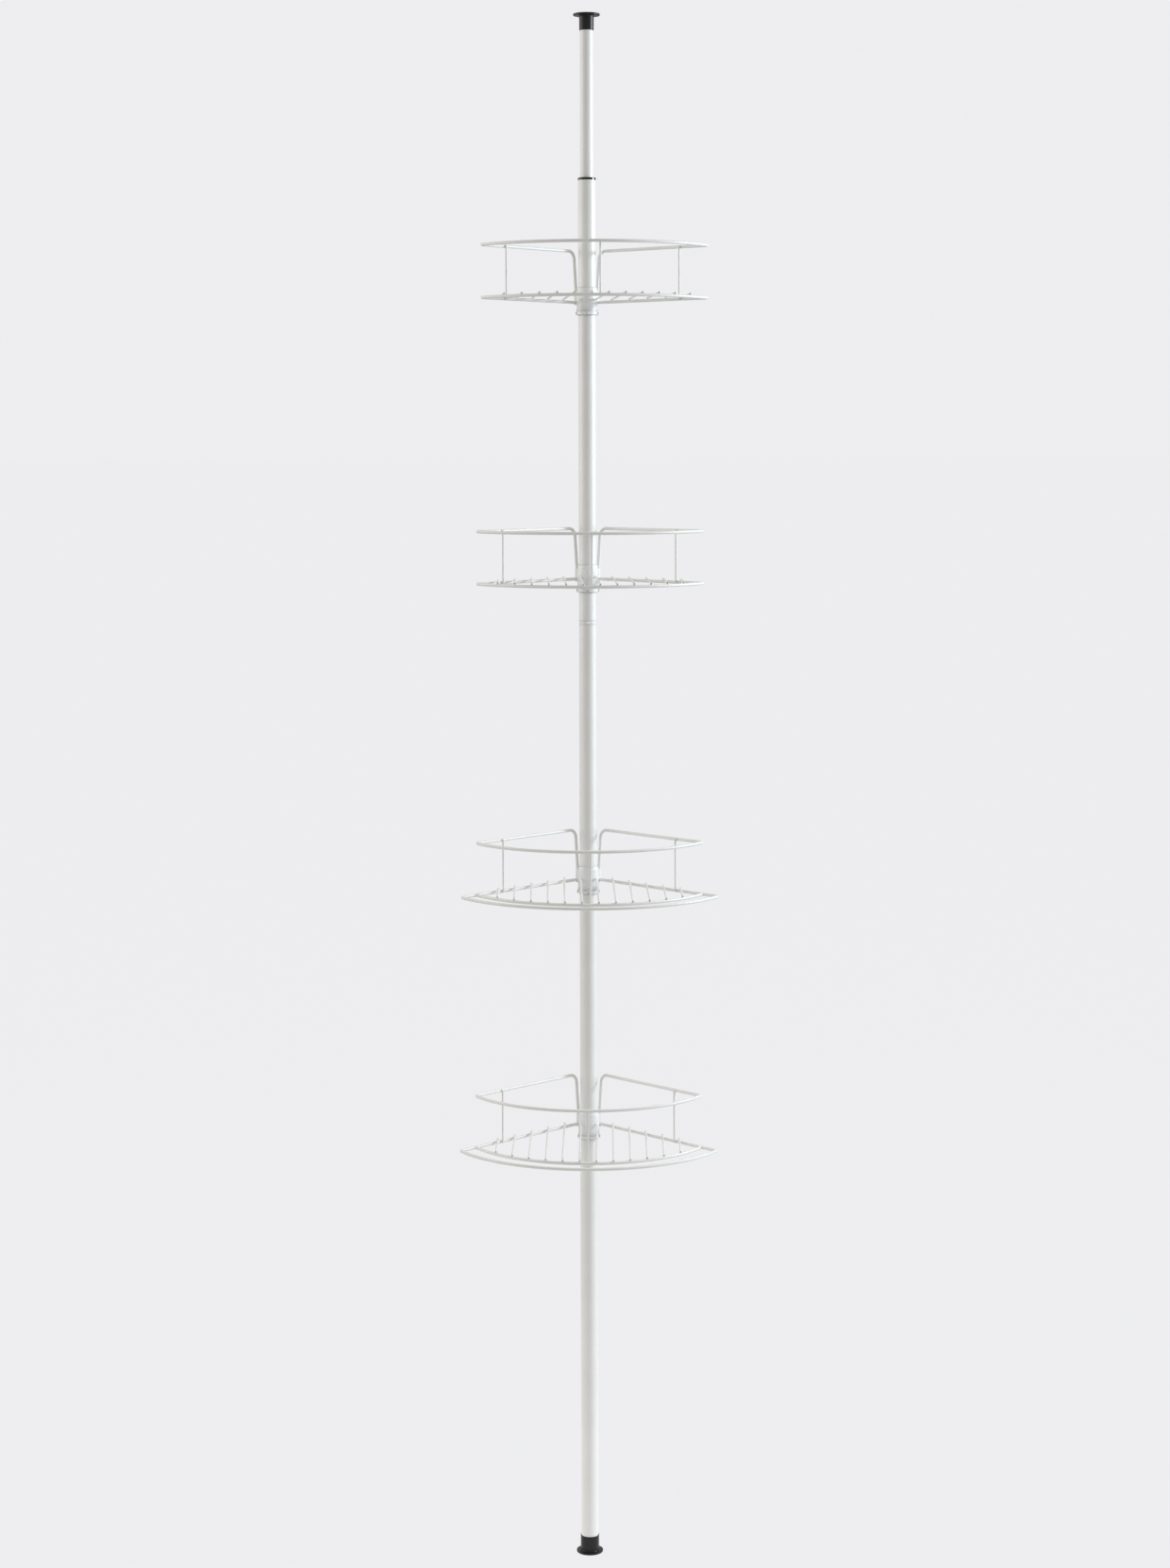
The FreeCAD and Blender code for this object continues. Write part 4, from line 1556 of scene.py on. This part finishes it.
@dataclass
class Studio:
    """Pale floor, plain bright surroundings, soft lamps and the camera."""

    backdrop: Colour = (0.850, 0.850, 0.867, 1.0)
    ambient: Colour = (0.575, 0.566, 0.535, 1.0)
    floor_light: Colour = (0.012, 0.012, 0.012, 1.0)
    floor_dark: Colour = (0.010, 0.010, 0.010, 1.0)
    floor_half: float = 300.0
    floor_pool: float = 1.3
    floor_near: float = 1.15
    floor_far: float = 0.45
    floor_shown: float = 0.987
    lamps: tuple[Lamp, ...] = (
        Lamp("key_right", (2.60, 0.02, 2.25), 0.66, 45.0, (0.83, 0.92, 1.0), 0.8),
        Lamp("wall_right", (2.80, -0.10, 1.70), 2.20, 33.0, (0.83, 0.92, 1.0), 0.9),
        Lamp("wall_left", (-2.70, 0.15, 2.20), 3.00, 36.0, (1.0, 1.0, 1.0)),
    )
    camera_place: Place = (-0.00388, -4.23977, 1.62790)
    pitch: float = 2.403
    roll: float = 0.137
    lens: float = 67.280
    sensor: float = 36.0
    shift: float = -0.14

    def build(self) -> None:
        """Builds the whole studio."""
        self._floor()
        self._surroundings()
        for lamp in self.lamps:
            lamp.build()
        self._camera()
        bpy.context.scene.view_settings.view_transform = "Standard"

    def _floor(self) -> None:
        """Lays a pale seamless floor, which gives off more light near the unit than far away."""
        shape = bmesh.new()
        half = self.floor_half
        corners = ((-half, -half), (half, -half), (half, half), (-half, half))
        shape.faces.new([shape.verts.new((*corner, 0.0)) for corner in corners])
        floor = finished_mesh("studio_floor", shape, outward=False)
        material = bpy.data.materials.new("pale_floor")
        graph = Graph.of(material)
        place = graph.node("ShaderNodeTexCoord")["Object"]
        tone = graph.blend(graph.noise(place, 3.0) * 0.01, self.floor_light, self.floor_dark)
        matt = graph.node("ShaderNodeBsdfDiffuse", {"Color": tone})[0]
        seen = graph.node("ShaderNodeLightPath")["Is Camera Ray"]
        away = graph.node("ShaderNodeVectorMath", {0: place}, operation="LENGTH")["Value"]
        lost = (away / self.floor_pool).ramp(0.0, 2.0) * (self.floor_near - self.floor_far)
        cast = self.floor_near - lost
        strength = seen * self.floor_shown + (1.0 - seen) * cast
        glow = graph.node("ShaderNodeEmission", {"Color": self.backdrop, "Strength": strength})[0]
        both = graph.node("ShaderNodeAddShader", {0: matt, 1: glow})[0]
        graph.node("ShaderNodeOutputMaterial", {"Surface": both})
        floor.data.materials.append(material)

    def _surroundings(self) -> None:
        """Sets an even backdrop, dimmer as a light source than it looks."""
        world = bpy.data.worlds.new("studio")
        graph = Graph.of(world)
        seen = graph.node("ShaderNodeLightPath")["Is Camera Ray"]
        colour = graph.blend(seen, self.ambient, self.backdrop)
        sky = graph.node("ShaderNodeBackground", {"Color": colour})[0]
        graph.node("ShaderNodeOutputWorld", {"Surface": sky})
        bpy.context.scene.world = world

    def _camera(self) -> None:
        """Sets the camera at eye height in front of the unit, aimed a little downwards."""
        data = bpy.data.cameras.new("camera")
        data.sensor_width = self.sensor
        data.lens = self.lens
        data.shift_y = self.shift
        camera = linked("camera", data)
        tilt = Matrix.Rotation(math.radians(90 - self.pitch), 4, "X")
        turn = Matrix.Rotation(math.radians(-self.roll), 4, "Z")
        camera.matrix_world = Matrix.Translation(self.camera_place) @ tilt @ turn
        bpy.context.scene.camera = camera


def main(frame: dict[str, Any]) -> None:
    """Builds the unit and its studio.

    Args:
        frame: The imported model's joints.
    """
    ranges = {joint["name"]: joint.get("range_m") for joint in frame["joints"]}
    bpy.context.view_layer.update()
    Studio().build()
    finishes = Finishes.made()
    TensionPole(finishes).build()
    shop = WireShop(finishes.materials[Slot.WIRE])
    Spring().build(shop, finishes, ranges["top_section_slide"][0])
    tiers = (("top", 4.6, False), ("upper", 1.4, False), ("lower", 0.7, True), ("bottom", -0.4, True))
    for seed, (tier, swing, has_bar) in enumerate(tiers):
        WireBasket(tier, math.radians(swing), has_bar).build(shop, finishes, seed)


if __name__ == "__main__":
    main(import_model())
